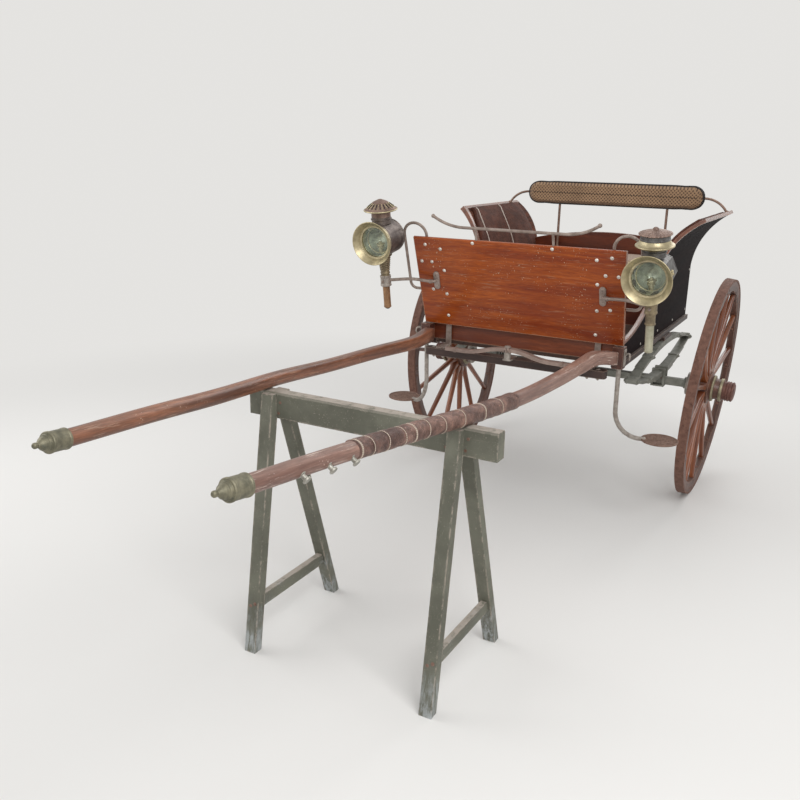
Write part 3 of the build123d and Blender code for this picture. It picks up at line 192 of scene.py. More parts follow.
class Graph:
    """The node tree of one material, or of the world."""

    def __init__(self, owner: bpy.types.Material | bpy.types.World) -> None:
        """Empties the owner's tree.

        Args:
            owner: the material or world.
        """
        self.owner = owner
        owner.use_nodes = True
        self.tree = owner.node_tree
        self.tree.nodes.clear()

    def node(self, kind: str, settings: dict | None = None, inputs: dict | None = None) -> bpy.types.Node:
        """Adds any node.

        Args:
            kind: the node's type without its ShaderNode prefix.
            settings: the node's own properties.
            inputs: values or signals for its sockets, by name or number.

        Returns:
            The node.
        """
        made = self.tree.nodes.new(f"ShaderNode{kind}")
        for key, value in (settings or {}).items():
            setattr(made, key, value)
        for key, value in (inputs or {}).items():
            self._feed(made.inputs[key], value)
        return made

    def read(self, kind: str, output: str | int, settings: dict | None = None, inputs: dict | None = None) -> Signal:
        """Adds any node and gives one of its outputs."""
        return Signal(self, self.node(kind, settings, inputs).outputs[output])

    def _feed(self, socket: bpy.types.NodeSocket, value: object) -> None:
        """Links a signal to a socket, or sets the socket's value.

        Args:
            socket: the input socket.
            value: a signal, number, colour or vector.
        """
        if isinstance(value, Signal):
            self.tree.links.new(value.socket, socket)
        elif socket.type == "RGBA" and isinstance(value, (tuple, list)):
            socket.default_value = (*value[:3], 1.0)
        elif socket.type == "VECTOR" and isinstance(value, (int, float)):
            socket.default_value = (value, value, value)
        else:
            socket.default_value = value

    def math(self, operation: str, *operands: Operand) -> Signal:
        """A Math node on one or two numbers."""
        return self.read("Math", 0, {"operation": operation}, dict(enumerate(operands)))

    def vector_math(self, operation: str, *operands: Operand) -> Signal:
        """A Vector Math node; DOT_PRODUCT and LENGTH give a number."""
        output = "Value" if operation in {"DOT_PRODUCT", "LENGTH"} else "Vector"
        return self.read("VectorMath", output, {"operation": operation}, dict(enumerate(operands)))

    def mix(self, factor: Operand, first: Operand | Colour, second: Operand | Colour) -> Signal:
        """Mixes two colours, 0 for the first and 1 for the second."""
        return self.read("Mix", 2, {"data_type": "RGBA"}, {0: factor, 6: first, 7: second})

    def noise(self, place: Signal, scale: float, detail: float = 3.0, rough: float = 0.55, warp: float = 0.0) -> Signal:
        """Fractal noise from 0 to 1 round 0.5, with scale features per metre and detail octaves."""
        inputs = {"Vector": place, "Scale": scale, "Detail": detail, "Roughness": rough, "Distortion": warp}
        return self.read("TexNoise", 0, {}, inputs)

    def cells(self, place: Signal, scale: float) -> Signal:
        """Distance to the edges of a cell pattern with a number of cells per metre."""
        return self.read("TexVoronoi", "Distance", {"feature": "DISTANCE_TO_EDGE"}, {"Vector": place, "Scale": scale})

    def position(self, coordinates: Coordinates) -> Signal:
        """The surface's position in metres.

        Args:
            coordinates: the frame it is read in.

        Returns:
            The position.
        """
        if coordinates is Coordinates.GRAIN:
            return self.read("Attribute", "Vector", {"attribute_name": "grain"})
        place = self.read("TexCoord", "Object")
        if coordinates is Coordinates.ROW:
            return place
        return self.read("Mapping", "Vector", {}, {"Vector": place, "Rotation": (0.0, CART.tilt, 0.0)})

    def facing(self, axis: str) -> Signal:
        """How far the surface faces along X, Y or Z."""
        return self.read("NewGeometry", "Normal").part(axis)

    def rounded(self, radius: float) -> Signal:
        """The normal with hard edges rounded within a radius in metres."""
        return self.read("Bevel", "Normal", {"samples": 4}, {"Radius": radius})

    def edges(self, radius: float) -> Signal:
        """1 along outer and inner edges within a radius in metres, 0 on flat faces."""
        same = self.vector_math("DOT_PRODUCT", self.rounded(radius), self.read("NewGeometry", "Normal"))
        return (1 - same).step(0.01, 0.16)

    def seen(self) -> Signal:
        """1 for rays that see the background itself, also in a mirror or through glass, and 0 for other light."""
        path = self.node("LightPath")
        camera, glossy, through = (Signal(self, path.outputs[f"Is {kind} Ray"]) for kind in SEEING_RAYS)
        return (camera + glossy + through).least(1.0)

    def end(self, shader: bpy.types.Node, kind: str = "OutputMaterial") -> None:
        """Joins the last shader to the tree's output."""
        self.tree.links.new(shader.outputs[0], self.node(kind).inputs[0])

    def blended(self, share: Operand, first: bpy.types.Node, second: bpy.types.Node) -> bpy.types.Node:
        """Mixes two shaders.

        Args:
            share: 0 for the first, 1 for the second.
            first: a shader.
            second: a shader.

        Returns:
            The mixed shader.
        """
        made = self.node("MixShader", {}, {0: share})
        self.tree.links.new(first.outputs[0], made.inputs[1])
        self.tree.links.new(second.outputs[0], made.inputs[2])
        return made

    def surface(
        self,
        colour: Signal | Colour,
        roughness: Operand,
        height: Signal | None = None,
        depth: float = 0.001,
        metallic: Operand = 0.0,
        coat: Operand = 0.0,
        constants: dict[str, object] | None = None,
        rounding: float = 0.0,
    ) -> bpy.types.Material:
        """Ends the tree in a Principled shader.

        Args:
            colour: base colour.
            roughness: roughness.
            height: relief from 0 to 1.
            depth: the relief's depth in metres.
            metallic: metallic share.
            coat: coat weight.
            constants: other sockets' fixed values.
            rounding: radius in metres that hard edges are shaded with.

        Returns:
            The material.
        """
        inputs: dict[str, object] = {
            "Base Color": colour,
            "Roughness": roughness,
            "Metallic": metallic,
            "Coat Weight": coat,
            **(constants or {}),
        }
        normal = {"Normal": self.rounded(rounding)} if rounding else {}
        if height is not None:
            relief = {"Height": height, "Distance": depth, "Strength": 1.0, **normal}
            normal = {"Normal": self.read("Bump", "Normal", {}, relief)}
        self.end(self.node("BsdfPrincipled", {}, inputs | normal))
        return self.owner


# The cart's own frame.


@dataclass(frozen=True)
class CartFrame:
    """The cart's own directions: forward, left and up from the middle of the axle.

    Attributes:
        origin: the middle of the axle, in metres.
        tilt: how far the cart leans back, in radians.
    """

    origin: Vector
    tilt: float

    @classmethod
    def from_joints(cls, joints: Sequence[dict]) -> CartFrame:
        """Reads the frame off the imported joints.

        Args:
            joints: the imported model's joints.

        Returns:
            The frame.
        """
        found = {joint["name"]: joint for joint in joints}
        hub = found["wheel_left_spin"]["pos_m"]
        up = found["swingletree_swing"]["axis"]
        return cls(Vector((hub[0], 0.0, hub[2])), math.atan2(-up[0], up[2]))

    @property
    def forward(self) -> Vector:
        """The cart's forward direction."""
        return Vector((math.cos(self.tilt), 0.0, math.sin(self.tilt)))

    @property
    def up(self) -> Vector:
        """The cart's upward direction."""
        return Vector((-math.sin(self.tilt), 0.0, math.cos(self.tilt)))

    @property
    def turn(self) -> Matrix:
        """The rotation from the cart's own directions."""
        return Matrix((self.forward, ACROSS, self.up)).transposed()

    def at(self, forward: float, left: float, up: float) -> Vector:
        """The place of a point given in millimetres in the cart's frame."""
        return self.origin + (self.forward * forward + Vector((0, left, 0)) + self.up * up) / 1000


CART = CartFrame.from_joints(frame["joints"])
LEFT, RIGHT = 1, -1
SIDES = (("left", LEFT), ("right", RIGHT))


# Finishes.


@dataclass(frozen=True)
class Finish:
    """A procedural surface.

    Attributes:
        name: the material's name.
        coordinates: the frame that the pattern is read in.
        along: the way that the grain runs.
    """

    name: str
    coordinates: Coordinates = Coordinates.CART
    along: Along = Along.NONE

    def material(self) -> bpy.types.Material:
        """The Blender material, made once."""
        return bpy.data.materials.get(self.name) or self.build(Graph(bpy.data.materials.new(self.name)))

    def build(self, graph: Graph) -> bpy.types.Material:
        """Fills the node tree.

        Args:
            graph: the empty tree.

        Returns:
            The material.
        """
        raise NotImplementedError


@dataclass(frozen=True)
class Varnish(Finish):
    """Varnished timber with grain, worn edges and specks.

    Attributes:
        deep: colour of the dark grain.
        warm: colour of the light grain.
        worn: colour where the varnish is rubbed off.
        wear: how much of the edges is rubbed.
        dust: how much pale dust lies on faces that look up.
        gloss: coat weight of sound varnish.
        roughness: roughness of sound varnish.
        specks: how many pale chips there are.
        shine: specular level.
        streaks: how much is rubbed through in streaks along the grain.
    """

    deep: Colour = (0.16, 0.03, 0.008)
    warm: Colour = (0.36, 0.09, 0.02)
    worn: Colour = (0.45, 0.33, 0.26)
    wear: float = 0.6
    dust: float = 0.15
    gloss: float = 0.5
    roughness: float = 0.38
    specks: float = 0.3
    shine: float = 0.5
    streaks: float = 0.0

    def tones(self, graph: Graph, place: Signal) -> tuple[Operand | Colour, Operand | Colour]:
        """The dark and the light colour of the grain at a position."""
        return self.deep, self.warm

    def build(self, graph: Graph) -> bpy.types.Material:
        """Fills the node tree.

        Args:
            graph: the empty tree.

        Returns:
            The material.
        """
        place = graph.position(self.coordinates)
        grain_place = place * self.along.value
        rings = graph.noise(grain_place, 26, 5, 0.6, 0.5)
        fibre = graph.noise(grain_place, 320, 3, 0.6)
        broad = graph.noise(place, 2.6, 3, 0.5)
        deep, warm = self.tones(graph, place)
        colour = graph.mix(rings.step(0.3, 0.72), deep, warm)
        colour = graph.mix(fibre.step(0.62, 0.35) * 0.45, colour, tuple(c * 0.45 for c in self.deep))
        colour = graph.mix(broad.step(0.62, 0.3) * 0.45, colour, deep)
        patches = graph.noise(place, 34, 5, 0.65)
        rubbed = (graph.edges(0.006) * (patches + self.wear - 0.42)).step(0.18, 0.5)
        chips = graph.noise(place, 150, 2, 0.5).step(0.76 - 0.06 * self.specks, 0.8 - 0.05 * self.specks)
        chips = chips * graph.noise(place, 9, 2).step(0.45, 0.6) * self.specks
        rubbed = rubbed.most(chips)
        if self.streaks:
            streak = graph.noise(grain_place, 130, 5, 0.7, 0.2).step(0.56, 0.66)
            streak = streak * graph.noise(place, 11, 3).step(0.36, 0.6)
            rubbed = rubbed.most(streak * self.streaks)
        settled = graph.facing("Z").step(0.3, 0.95) * graph.noise(place, 12, 5, 0.7).step(0.3, 0.75) * self.dust
        colour = graph.mix(rubbed * 0.85, colour, self.worn)
        colour = graph.mix(settled, colour, (0.42, 0.36, 0.31))
        dull = rubbed.most(settled)
        rough = graph.noise(place, 60, 4, 0.6) * 0.2 + (self.roughness - 0.1) + dull * 0.35
        height = fibre * 0.35 + rings * 0.25 - rubbed * 0.7
        return graph.surface(
            colour, rough, height, 0.0006, coat=(1 - dull.step(0.0, 0.5)) * self.gloss,
            constants={"Coat Roughness": 0.16, "Specular IOR Level": self.shine}, rounding=0.0015,
        )


@dataclass(frozen=True)
class TwoSidedVarnish(Varnish):
    """Varnish that is a different colour on the faces that look into the gig.

    Attributes:
        inner_deep: colour of the dark grain inside.
        inner_warm: colour of the light grain inside.
    """

    inner_deep: Colour = (0.05, 0.015, 0.008)
    inner_warm: Colour = (0.14, 0.04, 0.018)

    def tones(self, graph: Graph, place: Signal) -> tuple[Operand | Colour, Operand | Colour]:
        """The dark and the light colour of the grain at a position."""
        inside = (graph.facing("Y") * place.part("Y")).step(0.02, -0.02)
        return graph.mix(inside, self.deep, self.inner_deep), graph.mix(inside, self.warm, self.inner_warm)


@dataclass(frozen=True)
class AgedPaint(Finish):
    """Old paint on softwood, pale along the edges and splashed near the floor.

    Attributes:
        paint: colour of the paint.
        bare: colour of the bare wood.
        dust: colour of the faces that look up.
        splash: colour of the splashes near the floor.
        splash_top: height in metres that the splashes reach.
    """

    paint: Colour = (0.1, 0.1, 0.075)
    bare: Colour = (0.42, 0.36, 0.3)
    dust: Colour = (0.42, 0.36, 0.31)
    splash: Colour = (0.46, 0.49, 0.5)
    splash_top: float = 0.21

    def build(self, graph: Graph) -> bpy.types.Material:
        """Fills the node tree.

        Args:
            graph: the empty tree.

        Returns:
            The material.
        """
        place = graph.position(Coordinates.ROW)
        grain_place = place * self.along.value
        fibre = graph.noise(grain_place, 90, 4, 0.6, 0.3)
        tone = graph.noise(place, 7, 4, 0.6)
        colour = graph.mix(tone.step(0.3, 0.75), self.paint, tuple(c * 1.55 + 0.01 for c in self.paint))
        colour = graph.mix(fibre.step(0.6, 0.8) * 0.35, colour, self.bare)
        edge = graph.edges(0.011) * (graph.noise(place, 34, 6, 0.75) * 2.4 - 0.75)
        chips = graph.noise(grain_place, 60, 5, 0.75).step(0.66, 0.72)
        specks = graph.noise(place, 210, 3, 0.6).step(0.63, 0.69) * graph.noise(place, 16, 3).step(0.36, 0.6)
        worn = edge.step(0.3, 0.62).most(chips * 0.8).most(specks * 0.75)
        colour = graph.mix(worn, colour, self.bare)
        dusty = graph.facing("Z").step(0.6, 0.95) * graph.noise(place, 26, 6, 0.75).step(0.3, 0.55)
        colour = graph.mix(dusty * 0.8, colour, self.dust)
        height_above = place.part("Z") + graph.noise(place, 14, 5, 0.7) * 0.5
        splash = height_above.step(self.splash_top + 0.24, self.splash_top - 0.04)
        splash = splash * graph.noise(grain_place, 70, 5, 0.75).step(0.4, 0.56)
        colour = graph.mix(splash * 0.9, colour, self.splash)
        rough = graph.noise(place, 40, 3) * 0.2 + 0.62
        height = fibre * 0.5 + (1 - worn) * 0.4 + splash * 0.3
        return graph.surface(colour, rough, height, 0.0012, rounding=0.003)


@dataclass(frozen=True)
class Metal(Finish):
    """Worn metal with stains.

    Attributes:
        bright: colour of the clean metal.
        dull: colour of the oxide or dirt.
        stain: colour of the deeper stains.
        stained: share of the surface under stains.
        metallic: metallic share of the clean metal.
        roughness: roughness of the clean metal.
        scale: stains per metre.
        relief: depth of the pitting in metres.
    """

    bright: Colour = (0.42, 0.41, 0.4)
    dull: Colour = (0.24, 0.22, 0.2)
    stain: Colour = (0.16, 0.08, 0.045)
    stained: float = 0.25
    metallic: float = 0.55
    roughness: float = 0.42
    scale: float = 45.0
    relief: float = 0.0003

    def build(self, graph: Graph) -> bpy.types.Material:
        """Fills the node tree.

        Args:
            graph: the empty tree.

        Returns:
            The material.
        """
        place = graph.position(self.coordinates)
        tone = graph.noise(place, self.scale, 5, 0.65)
        fine = graph.noise(place, self.scale * 9, 3, 0.6)
        spots = graph.noise(place * 1.7, self.scale * 0.8, 6, 0.72)
        stain = spots.step(0.72 - 0.34 * self.stained, 0.82 - 0.3 * self.stained)
        colour = graph.mix(tone.step(0.32, 0.7), self.bright, self.dull)
        rub = graph.edges(0.003)
        colour = graph.mix(rub * 0.5, colour, tuple(min(1.0, c * 1.35) for c in self.bright))
        colour = graph.mix(stain, colour, self.stain)
        rough = self.roughness + tone * 0.16 + stain * 0.25 + fine * 0.08
        metallic = (1 - stain) * self.metallic
        height = fine * 0.5 + stain * 0.5
        return graph.surface(colour, rough, height, self.relief, metallic=metallic, rounding=0.001)


@dataclass(frozen=True)
class Leather(Finish):
    """Old hide with a pebbled grain and creases.

    Attributes:
        hide: main colour.
        rubbed: colour of the high, rubbed spots.
        roughness: roughness.
        crease: depth of the creases in metres.
        shine: specular level.
        scuffs: how many pale scuffs there are.
    """

    hide: Colour = (0.05, 0.026, 0.023)
    rubbed: Colour = (0.12, 0.07, 0.058)
    roughness: float = 0.46
    crease: float = 0.0006
    shine: float = 0.5
    scuffs: float = 0.0

    def build(self, graph: Graph) -> bpy.types.Material:
        """Fills the node tree.

        Args:
            graph: the empty tree.

        Returns:
            The material.
        """
        place = graph.position(self.coordinates)
        pebble = graph.cells(place + graph.noise(place, 400, 2) * 0.004, 520).step(0.0, 0.3)
        crease = graph.noise(place * self.along.value, 30, 4, 0.6, 1.2)
        folds = abs(crease - 0.5).step(0.0, 0.05)
        tone = graph.noise(place, 16, 5, 0.65)
        colour = graph.mix(tone.step(0.35, 0.75), self.hide, self.rubbed)
        # The creases are darkened in colour as painted shade.
        colour = graph.mix((1 - folds) * 0.5, colour, tuple(c * 0.5 for c in self.hide))
        if self.scuffs:
            scuff = graph.noise(place, 130, 4, 0.7, 0.4).step(0.58, 0.66) * graph.noise(place, 20, 3).step(0.4, 0.6)
            colour = graph.mix(scuff * self.scuffs, colour, tuple(c * 1.9 for c in self.rubbed))
        rough = self.roughness + tone * 0.18 - pebble * 0.06
        height = pebble * 0.3 + folds * 0.7
        return graph.surface(colour, rough, height, self.crease, constants={"Specular IOR Level": self.shine})


@dataclass(frozen=True)
class DottedCloth(Finish):
    """Tan cloth woven with a close diamond of dark dots.

    Attributes:
        ground: colour of the ground.
        dot: colour of the dots.
        pitch: distance between dots in metres.
    """

    ground: Colour = (0.4, 0.25, 0.14)
    dot: Colour = (0.07, 0.035, 0.022)
    pitch: float = 0.0105

    def build(self, graph: Graph) -> bpy.types.Material:
        """Fills the node tree.

        Args:
            graph: the empty tree.

        Returns:
            The material.
        """
        place = graph.position(self.coordinates)
        across = place.part("Y") * (2 * math.pi / self.pitch)
        rise = (place.part("Z") + place.part("X")) * (2 * math.pi / self.pitch)
        wave = graph.math("COSINE", across) + graph.math("COSINE", rise)
        dots = wave.step(0.75, 1.35).most((wave * -1).step(0.75, 1.35))
        thread = graph.noise(place, 900, 2, 0.5)
        tone = graph.noise(place, 8, 4, 0.6)
        ground = graph.mix(tone.step(0.3, 0.75), self.ground, tuple(c * 0.72 for c in self.ground))
        ground = graph.mix(thread.step(0.4, 0.7) * 0.3, ground, tuple(c * 0.55 for c in self.ground))
        colour = graph.mix(dots * 0.85, ground, self.dot)
        height = thread * 0.4 + dots * 0.4
        return graph.surface(
            colour, 0.86, height, 0.0006, constants={"Sheen Weight": 0.25, "Sheen Roughness": 0.5}
        )


@dataclass(frozen=True)
class Cord(Finish):
    """Twisted thread or piping.

    Attributes:
        light: colour of the strand.
        dark: colour between the strands.
        pitch: twist pitch in metres.
        roughness: roughness.
    """

    light: Colour = (0.4, 0.33, 0.27)
    # dark: colour between the strands, painted shade in the grooves of the twist.
    dark: Colour = (0.16, 0.12, 0.09)
    pitch: float = 0.006
    roughness: float = 0.8

    def build(self, graph: Graph) -> bpy.types.Material:
        """Fills the node tree.

        Args:
            graph: the empty tree.

        Returns:
            The material.
        """
        place = graph.position(Coordinates.GRAIN)
        twist = (place.part("X") / self.pitch + place.part("Y")) * (2 * math.pi)
        strand = graph.math("COSINE", twist).step(-0.6, 0.6)
        tone = graph.noise(place, 60, 4)
        # The grooves between the strands get the dark colour as painted shade.
        colour = graph.mix(strand * (tone * 0.5 + 0.6), self.dark, self.light)
        return graph.surface(colour, self.roughness, strand, 0.0005)


@dataclass(frozen=True)
class Glass(Finish):
    """Clear lamp glass with a little dust.

    Attributes:
        tint: colour of the glass.
        haze: colour of the dust and the sheen.
    """

    tint: Colour = (0.94, 0.96, 0.92)
    haze: Colour = (0.8, 0.82, 0.78)

    def build(self, graph: Graph) -> bpy.types.Material:
        """Fills the node tree.

        Args:
            graph: the empty tree.

        Returns:
            The material.
        """
        smear = graph.noise(graph.position(Coordinates.ROW), 38, 4, 0.6).step(0.45, 0.8)
        facing = graph.read("LayerWeight", "Facing", {}, {"Blend": 0.5})
        clear = graph.node("BsdfTransparent", {}, {"Color": self.tint})
        sheen = graph.node("BsdfPrincipled", {}, {"Base Color": self.haze, "Roughness": 0.05, "Metallic": 0.8})
        graph.end(graph.blended(facing ** 3 * 0.5 + smear * 0.05 + 0.06, clear, sheen))
        return graph.owner


@dataclass(frozen=True)
class Floor(Finish):
    """Plain pale studio floor that runs into the background away from the gig.

    Attributes:
        tone: colour of the floor.
        background: colour of the background.
        reach: distances in metres between which the floor gives way.
    """

    tone: Colour = BACKGROUND
    background: Colour = BACKGROUND
    reach: tuple[float, float] = (2.3, 4.8)

    def build(self, graph: Graph) -> bpy.types.Material:
        """Fills the node tree.

        Args:
            graph: the empty tree.

        Returns:
            The material.
        """
        place = graph.position(Coordinates.ROW) * (1.0, 1.0, 0.0)
        far = graph.vector_math("LENGTH", place).step(*self.reach)
        matt = {"Base Color": self.tone, "Roughness": 0.9, "Specular IOR Level": 0.1}
        floor = graph.node("BsdfPrincipled", {}, matt)
        sky = graph.node("Emission", {}, {"Color": self.background})
        graph.end(graph.blended(far * graph.seen(), floor, sky))
        return graph.owner


DASH_VARNISH = Varnish(
    "dash_varnish", along=Along.ACROSS, deep=(0.21, 0.028, 0.003), warm=(0.44, 0.095, 0.009), worn=(0.55, 0.4, 0.27),
    wear=0.72, dust=0.03, gloss=0.2, roughness=0.36, specks=1.5, shine=0.3, streaks=0.25,
)
PANEL_VARNISH = Varnish(
    "front_panel_varnish", along=Along.ACROSS, deep=(0.12, 0.022, 0.006), warm=(0.27, 0.062, 0.014),
    worn=(0.34, 0.2, 0.13), dust=0.05, gloss=0.2, roughness=0.45,
)
BODY_VARNISH = Varnish(
    "body_varnish", along=Along.ACROSS, deep=(0.075, 0.014, 0.006), warm=(0.19, 0.04, 0.013), gloss=0.3
)
CORNER_VARNISH = Varnish(
    "corner_varnish", along=Along.FORWARD, deep=(0.035, 0.01, 0.006), warm=(0.1, 0.026, 0.012), worn=(0.3, 0.17, 0.12),
    wear=0.7, dust=0.1, gloss=0.2,
)
# Near-black timber under the body: partly the wood's own dark stain, partly painted shade from the body above.
DARK_TIMBER_AND_SHADE = Varnish(
    "dark_timber_and_painted_shade", along=Along.ACROSS, deep=(0.02, 0.009, 0.007), warm=(0.055, 0.025, 0.018), worn=(0.26, 0.18, 0.14),
    wear=0.62, dust=0.25, gloss=0.1, roughness=0.55,
)
FLOOR_VARNISH = Varnish(
    "floor_board_wood", along=Along.FORWARD, deep=(0.025, 0.011, 0.007), warm=(0.07, 0.03, 0.016),
    worn=(0.22, 0.15, 0.11), gloss=0.05, dust=0.3, roughness=0.6,
)
DARK_PANEL = TwoSidedVarnish(
    "dark_panel_varnish", along=Along.FORWARD, deep=(0.007, 0.004, 0.005), warm=(0.016, 0.008, 0.008),
    worn=(0.14, 0.09, 0.07), wear=0.5, gloss=0.0, roughness=0.7, dust=0.02, specks=0.1, shine=0.06,
)
RAIL_VARNISH = Varnish(
    "rail_varnish", along=Along.FORWARD, deep=(0.1, 0.028, 0.013), warm=(0.26, 0.085, 0.04), worn=(0.36, 0.2, 0.14),
    wear=0.55, dust=0.05,
)
# The two shafts are one wood: the left one is paler, partly from its heavier rubbed streaks and partly as a painted
# highlight.
NEAR_SHAFT = Varnish(
    "left_shaft_varnish", coordinates=Coordinates.GRAIN, along=Along.FORWARD, deep=(0.16, 0.078, 0.058),
    warm=(0.44, 0.26, 0.2), worn=(0.66, 0.54, 0.47), wear=0.5, dust=0.15, gloss=0.15, roughness=0.45, specks=1.5,
    streaks=0.9,
)
FAR_SHAFT = Varnish(
    "right_shaft_varnish", coordinates=Coordinates.GRAIN, along=Along.FORWARD, deep=(0.09, 0.032, 0.017),
    warm=(0.36, 0.145, 0.075), worn=(0.52, 0.38, 0.28), wear=0.5, dust=0.12, gloss=0.2, roughness=0.45, specks=1.2,
    streaks=0.45,
)
SPOKE_VARNISH = Varnish(
    "spoke_varnish", coordinates=Coordinates.GRAIN, along=Along.FORWARD, deep=(0.13, 0.03, 0.01),
    warm=(0.36, 0.11, 0.032), worn=(0.42, 0.25, 0.15), wear=0.6, dust=0.1, gloss=0.4,
)
FELLOE_WOOD = Varnish(
    "felloe_varnish", coordinates=Coordinates.GRAIN, along=Along.FORWARD, deep=(0.06, 0.022, 0.014),
    warm=(0.16, 0.06, 0.036), worn=(0.3, 0.19, 0.14), wear=0.7, dust=0.12, gloss=0.1, roughness=0.55, specks=0.8,
)
NAVE_VARNISH = Varnish(
    "nave_varnish", along=Along.ACROSS, deep=(0.06, 0.02, 0.012), warm=(0.17, 0.065, 0.035), worn=(0.32, 0.2, 0.15),
    dust=0.15, gloss=0.15, roughness=0.5,
)
TRESTLE_ACROSS = AgedPaint("trestle_paint_beam", along=Along.ACROSS)
TRESTLE_UP = AgedPaint("trestle_paint_legs", along=Along.UP)
TRESTLE_FORE = AgedPaint("trestle_paint_stretchers", along=Along.FORWARD)
PALE_IRON = Metal("pale_iron", bright=(0.4, 0.36, 0.32), dull=(0.24, 0.205, 0.18), stain=(0.17, 0.1, 0.07), stained=0.3)
RAIL_IRON = Metal(
    "rail_iron", bright=(0.36, 0.29, 0.25), dull=(0.2, 0.15, 0.125), stain=(0.16, 0.085, 0.055), stained=0.35,
    metallic=0.4, scale=28,
)
SEAT_IRON = Metal(
    "seat_iron", bright=(0.32, 0.21, 0.16), dull=(0.17, 0.1, 0.072), stain=(0.12, 0.06, 0.04), stained=0.3,
    metallic=0.3, scale=28,
)
BAR_PAINT = Metal(
    "swingletree_paint", bright=(0.3, 0.22, 0.185), dull=(0.2, 0.14, 0.118), stain=(0.13, 0.075, 0.055), stained=0.2,
    metallic=0.1, roughness=0.5, scale=18, relief=0.0001,
)
BOLT_HEAD = Metal(
    "bolt_head", bright=(0.78, 0.74, 0.68), dull=(0.5, 0.45, 0.4), stain=(0.3, 0.18, 0.12), stained=0.1, roughness=0.3
)
STUD_METAL = Metal(
    "stud_metal", bright=(0.42, 0.405, 0.36), dull=(0.25, 0.24, 0.205), stain=(0.13, 0.12, 0.1), stained=0.3,
    metallic=0.7, roughness=0.36,
)
SPRING_STEEL = Metal(
    "spring_steel", bright=(0.26, 0.26, 0.225), dull=(0.17, 0.17, 0.145), stain=(0.12, 0.09, 0.07), stained=0.15,
    metallic=0.3, scale=22, relief=0.0001,
)
STEP_RUST = Metal(
    "step_rust", bright=(0.24, 0.15, 0.115), dull=(0.15, 0.085, 0.06), stain=(0.1, 0.045, 0.028), stained=0.5,
    metallic=0.2, roughness=0.55,
)
TYRE_IRON = Metal(
    "worn_tyre_iron", bright=(0.18, 0.085, 0.058), dull=(0.11, 0.05, 0.034), stain=(0.07, 0.034, 0.024), stained=0.5,
    metallic=0.0, roughness=0.66,
)
BRONZE = Metal(
    "dull_bronze", bright=(0.25, 0.23, 0.16), dull=(0.13, 0.125, 0.09), stain=(0.08, 0.09, 0.07), stained=0.4,
    metallic=0.7, roughness=0.42,
)
HUB_BRASS = Metal(
    "hub_brass", bright=(0.34, 0.3, 0.2), dull=(0.18, 0.15, 0.1), stain=(0.1, 0.075, 0.05), stained=0.35,
    metallic=0.6, roughness=0.4,
)
HUB_CAP = Metal(
    "hub_cap_paint", bright=(0.17, 0.075, 0.055), dull=(0.09, 0.038, 0.03), stain=(0.2, 0.14, 0.1), stained=0.25,
    metallic=0.25, roughness=0.42,
)
LAMP_BRASS = Metal(
    "lamp_brass", bright=(0.5, 0.43, 0.27), dull=(0.32, 0.27, 0.17), stain=(0.17, 0.13, 0.08), stained=0.2,
    metallic=0.75, roughness=0.28, scale=30, relief=0.0001,
)
LAMP_DARK_BRASS = Metal(
    "lamp_dark_brass", bright=(0.3, 0.24, 0.15), dull=(0.14, 0.11, 0.075), stain=(0.07, 0.05, 0.04), stained=0.3,
    metallic=0.65, roughness=0.4, scale=30, relief=0.0001,
)
LAMP_STEEL = Metal(
    "lamp_steel", bright=(0.17, 0.165, 0.16), dull=(0.07, 0.062, 0.06), stain=(0.06, 0.04, 0.03), stained=0.3,
    metallic=0.65, roughness=0.36, scale=30,
)
LAMP_COPPER = Metal(
    "lamp_copper", bright=(0.36, 0.2, 0.1), dull=(0.2, 0.11, 0.06), stain=(0.09, 0.06, 0.045), stained=0.3,
    metallic=0.55, roughness=0.45, scale=30,
)
LAMP_DRUM = Metal(
    "lamp_drum_steel", bright=(0.2, 0.165, 0.145), dull=(0.085, 0.065, 0.06), stain=(0.11, 0.05, 0.03), stained=0.3,
    metallic=0.6, roughness=0.34, scale=24,
)
LAMP_TIN = Metal(
    "lamp_cap_tin", bright=(0.3, 0.205, 0.165), dull=(0.17, 0.11, 0.09), stain=(0.09, 0.06, 0.05), stained=0.3,
    metallic=0.5, roughness=0.42, scale=30,
)
LAMP_TUBE = Metal(
    "lamp_tube_brass", bright=(0.46, 0.44, 0.33), dull=(0.3, 0.28, 0.2), stain=(0.16, 0.14, 0.1), stained=0.15,
    metallic=0.6, roughness=0.36, scale=24, relief=0.0001,
)
# Near-black bars that are painted shade for the open vents in the right lamp's cap.
VENT_SHADE = Metal(
    "lamp_vent_painted_shade", bright=(0.02, 0.018, 0.016), dull=(0.01, 0.01, 0.01), stain=(0.03, 0.02, 0.018), metallic=0.0,
    roughness=0.8,
)
REFLECTOR = Metal(
    "reflector_plate", bright=(0.78, 0.8, 0.74), dull=(0.4, 0.43, 0.39), stain=(0.14, 0.15, 0.13), stained=0.2,
    metallic=0.9, roughness=0.18, scale=30, relief=0.0001,
)
BURNER = Metal(
    "burner_brass", bright=(0.68, 0.6, 0.44), dull=(0.42, 0.35, 0.23), stain=(0.1, 0.08, 0.05), stained=0.3,
    metallic=0.8, roughness=0.3, relief=0.0001,
)
HIDE = Leather("lining_hide", hide=(0.062, 0.022, 0.014), rubbed=(0.13, 0.05, 0.034), roughness=0.6, shine=0.1)
WRAP_HIDE = Leather(
    "wrap_hide", coordinates=Coordinates.GRAIN, hide=(0.07, 0.028, 0.02), rubbed=(0.3, 0.17, 0.13), roughness=0.36,
    crease=0.001, scuffs=0.7,
)
CLOTH = DottedCloth("dotted_cloth", pitch=0.019)
TWINE = Cord("waxed_twine", light=(0.7, 0.6, 0.5), dark=(0.42, 0.34, 0.27), pitch=0.005)
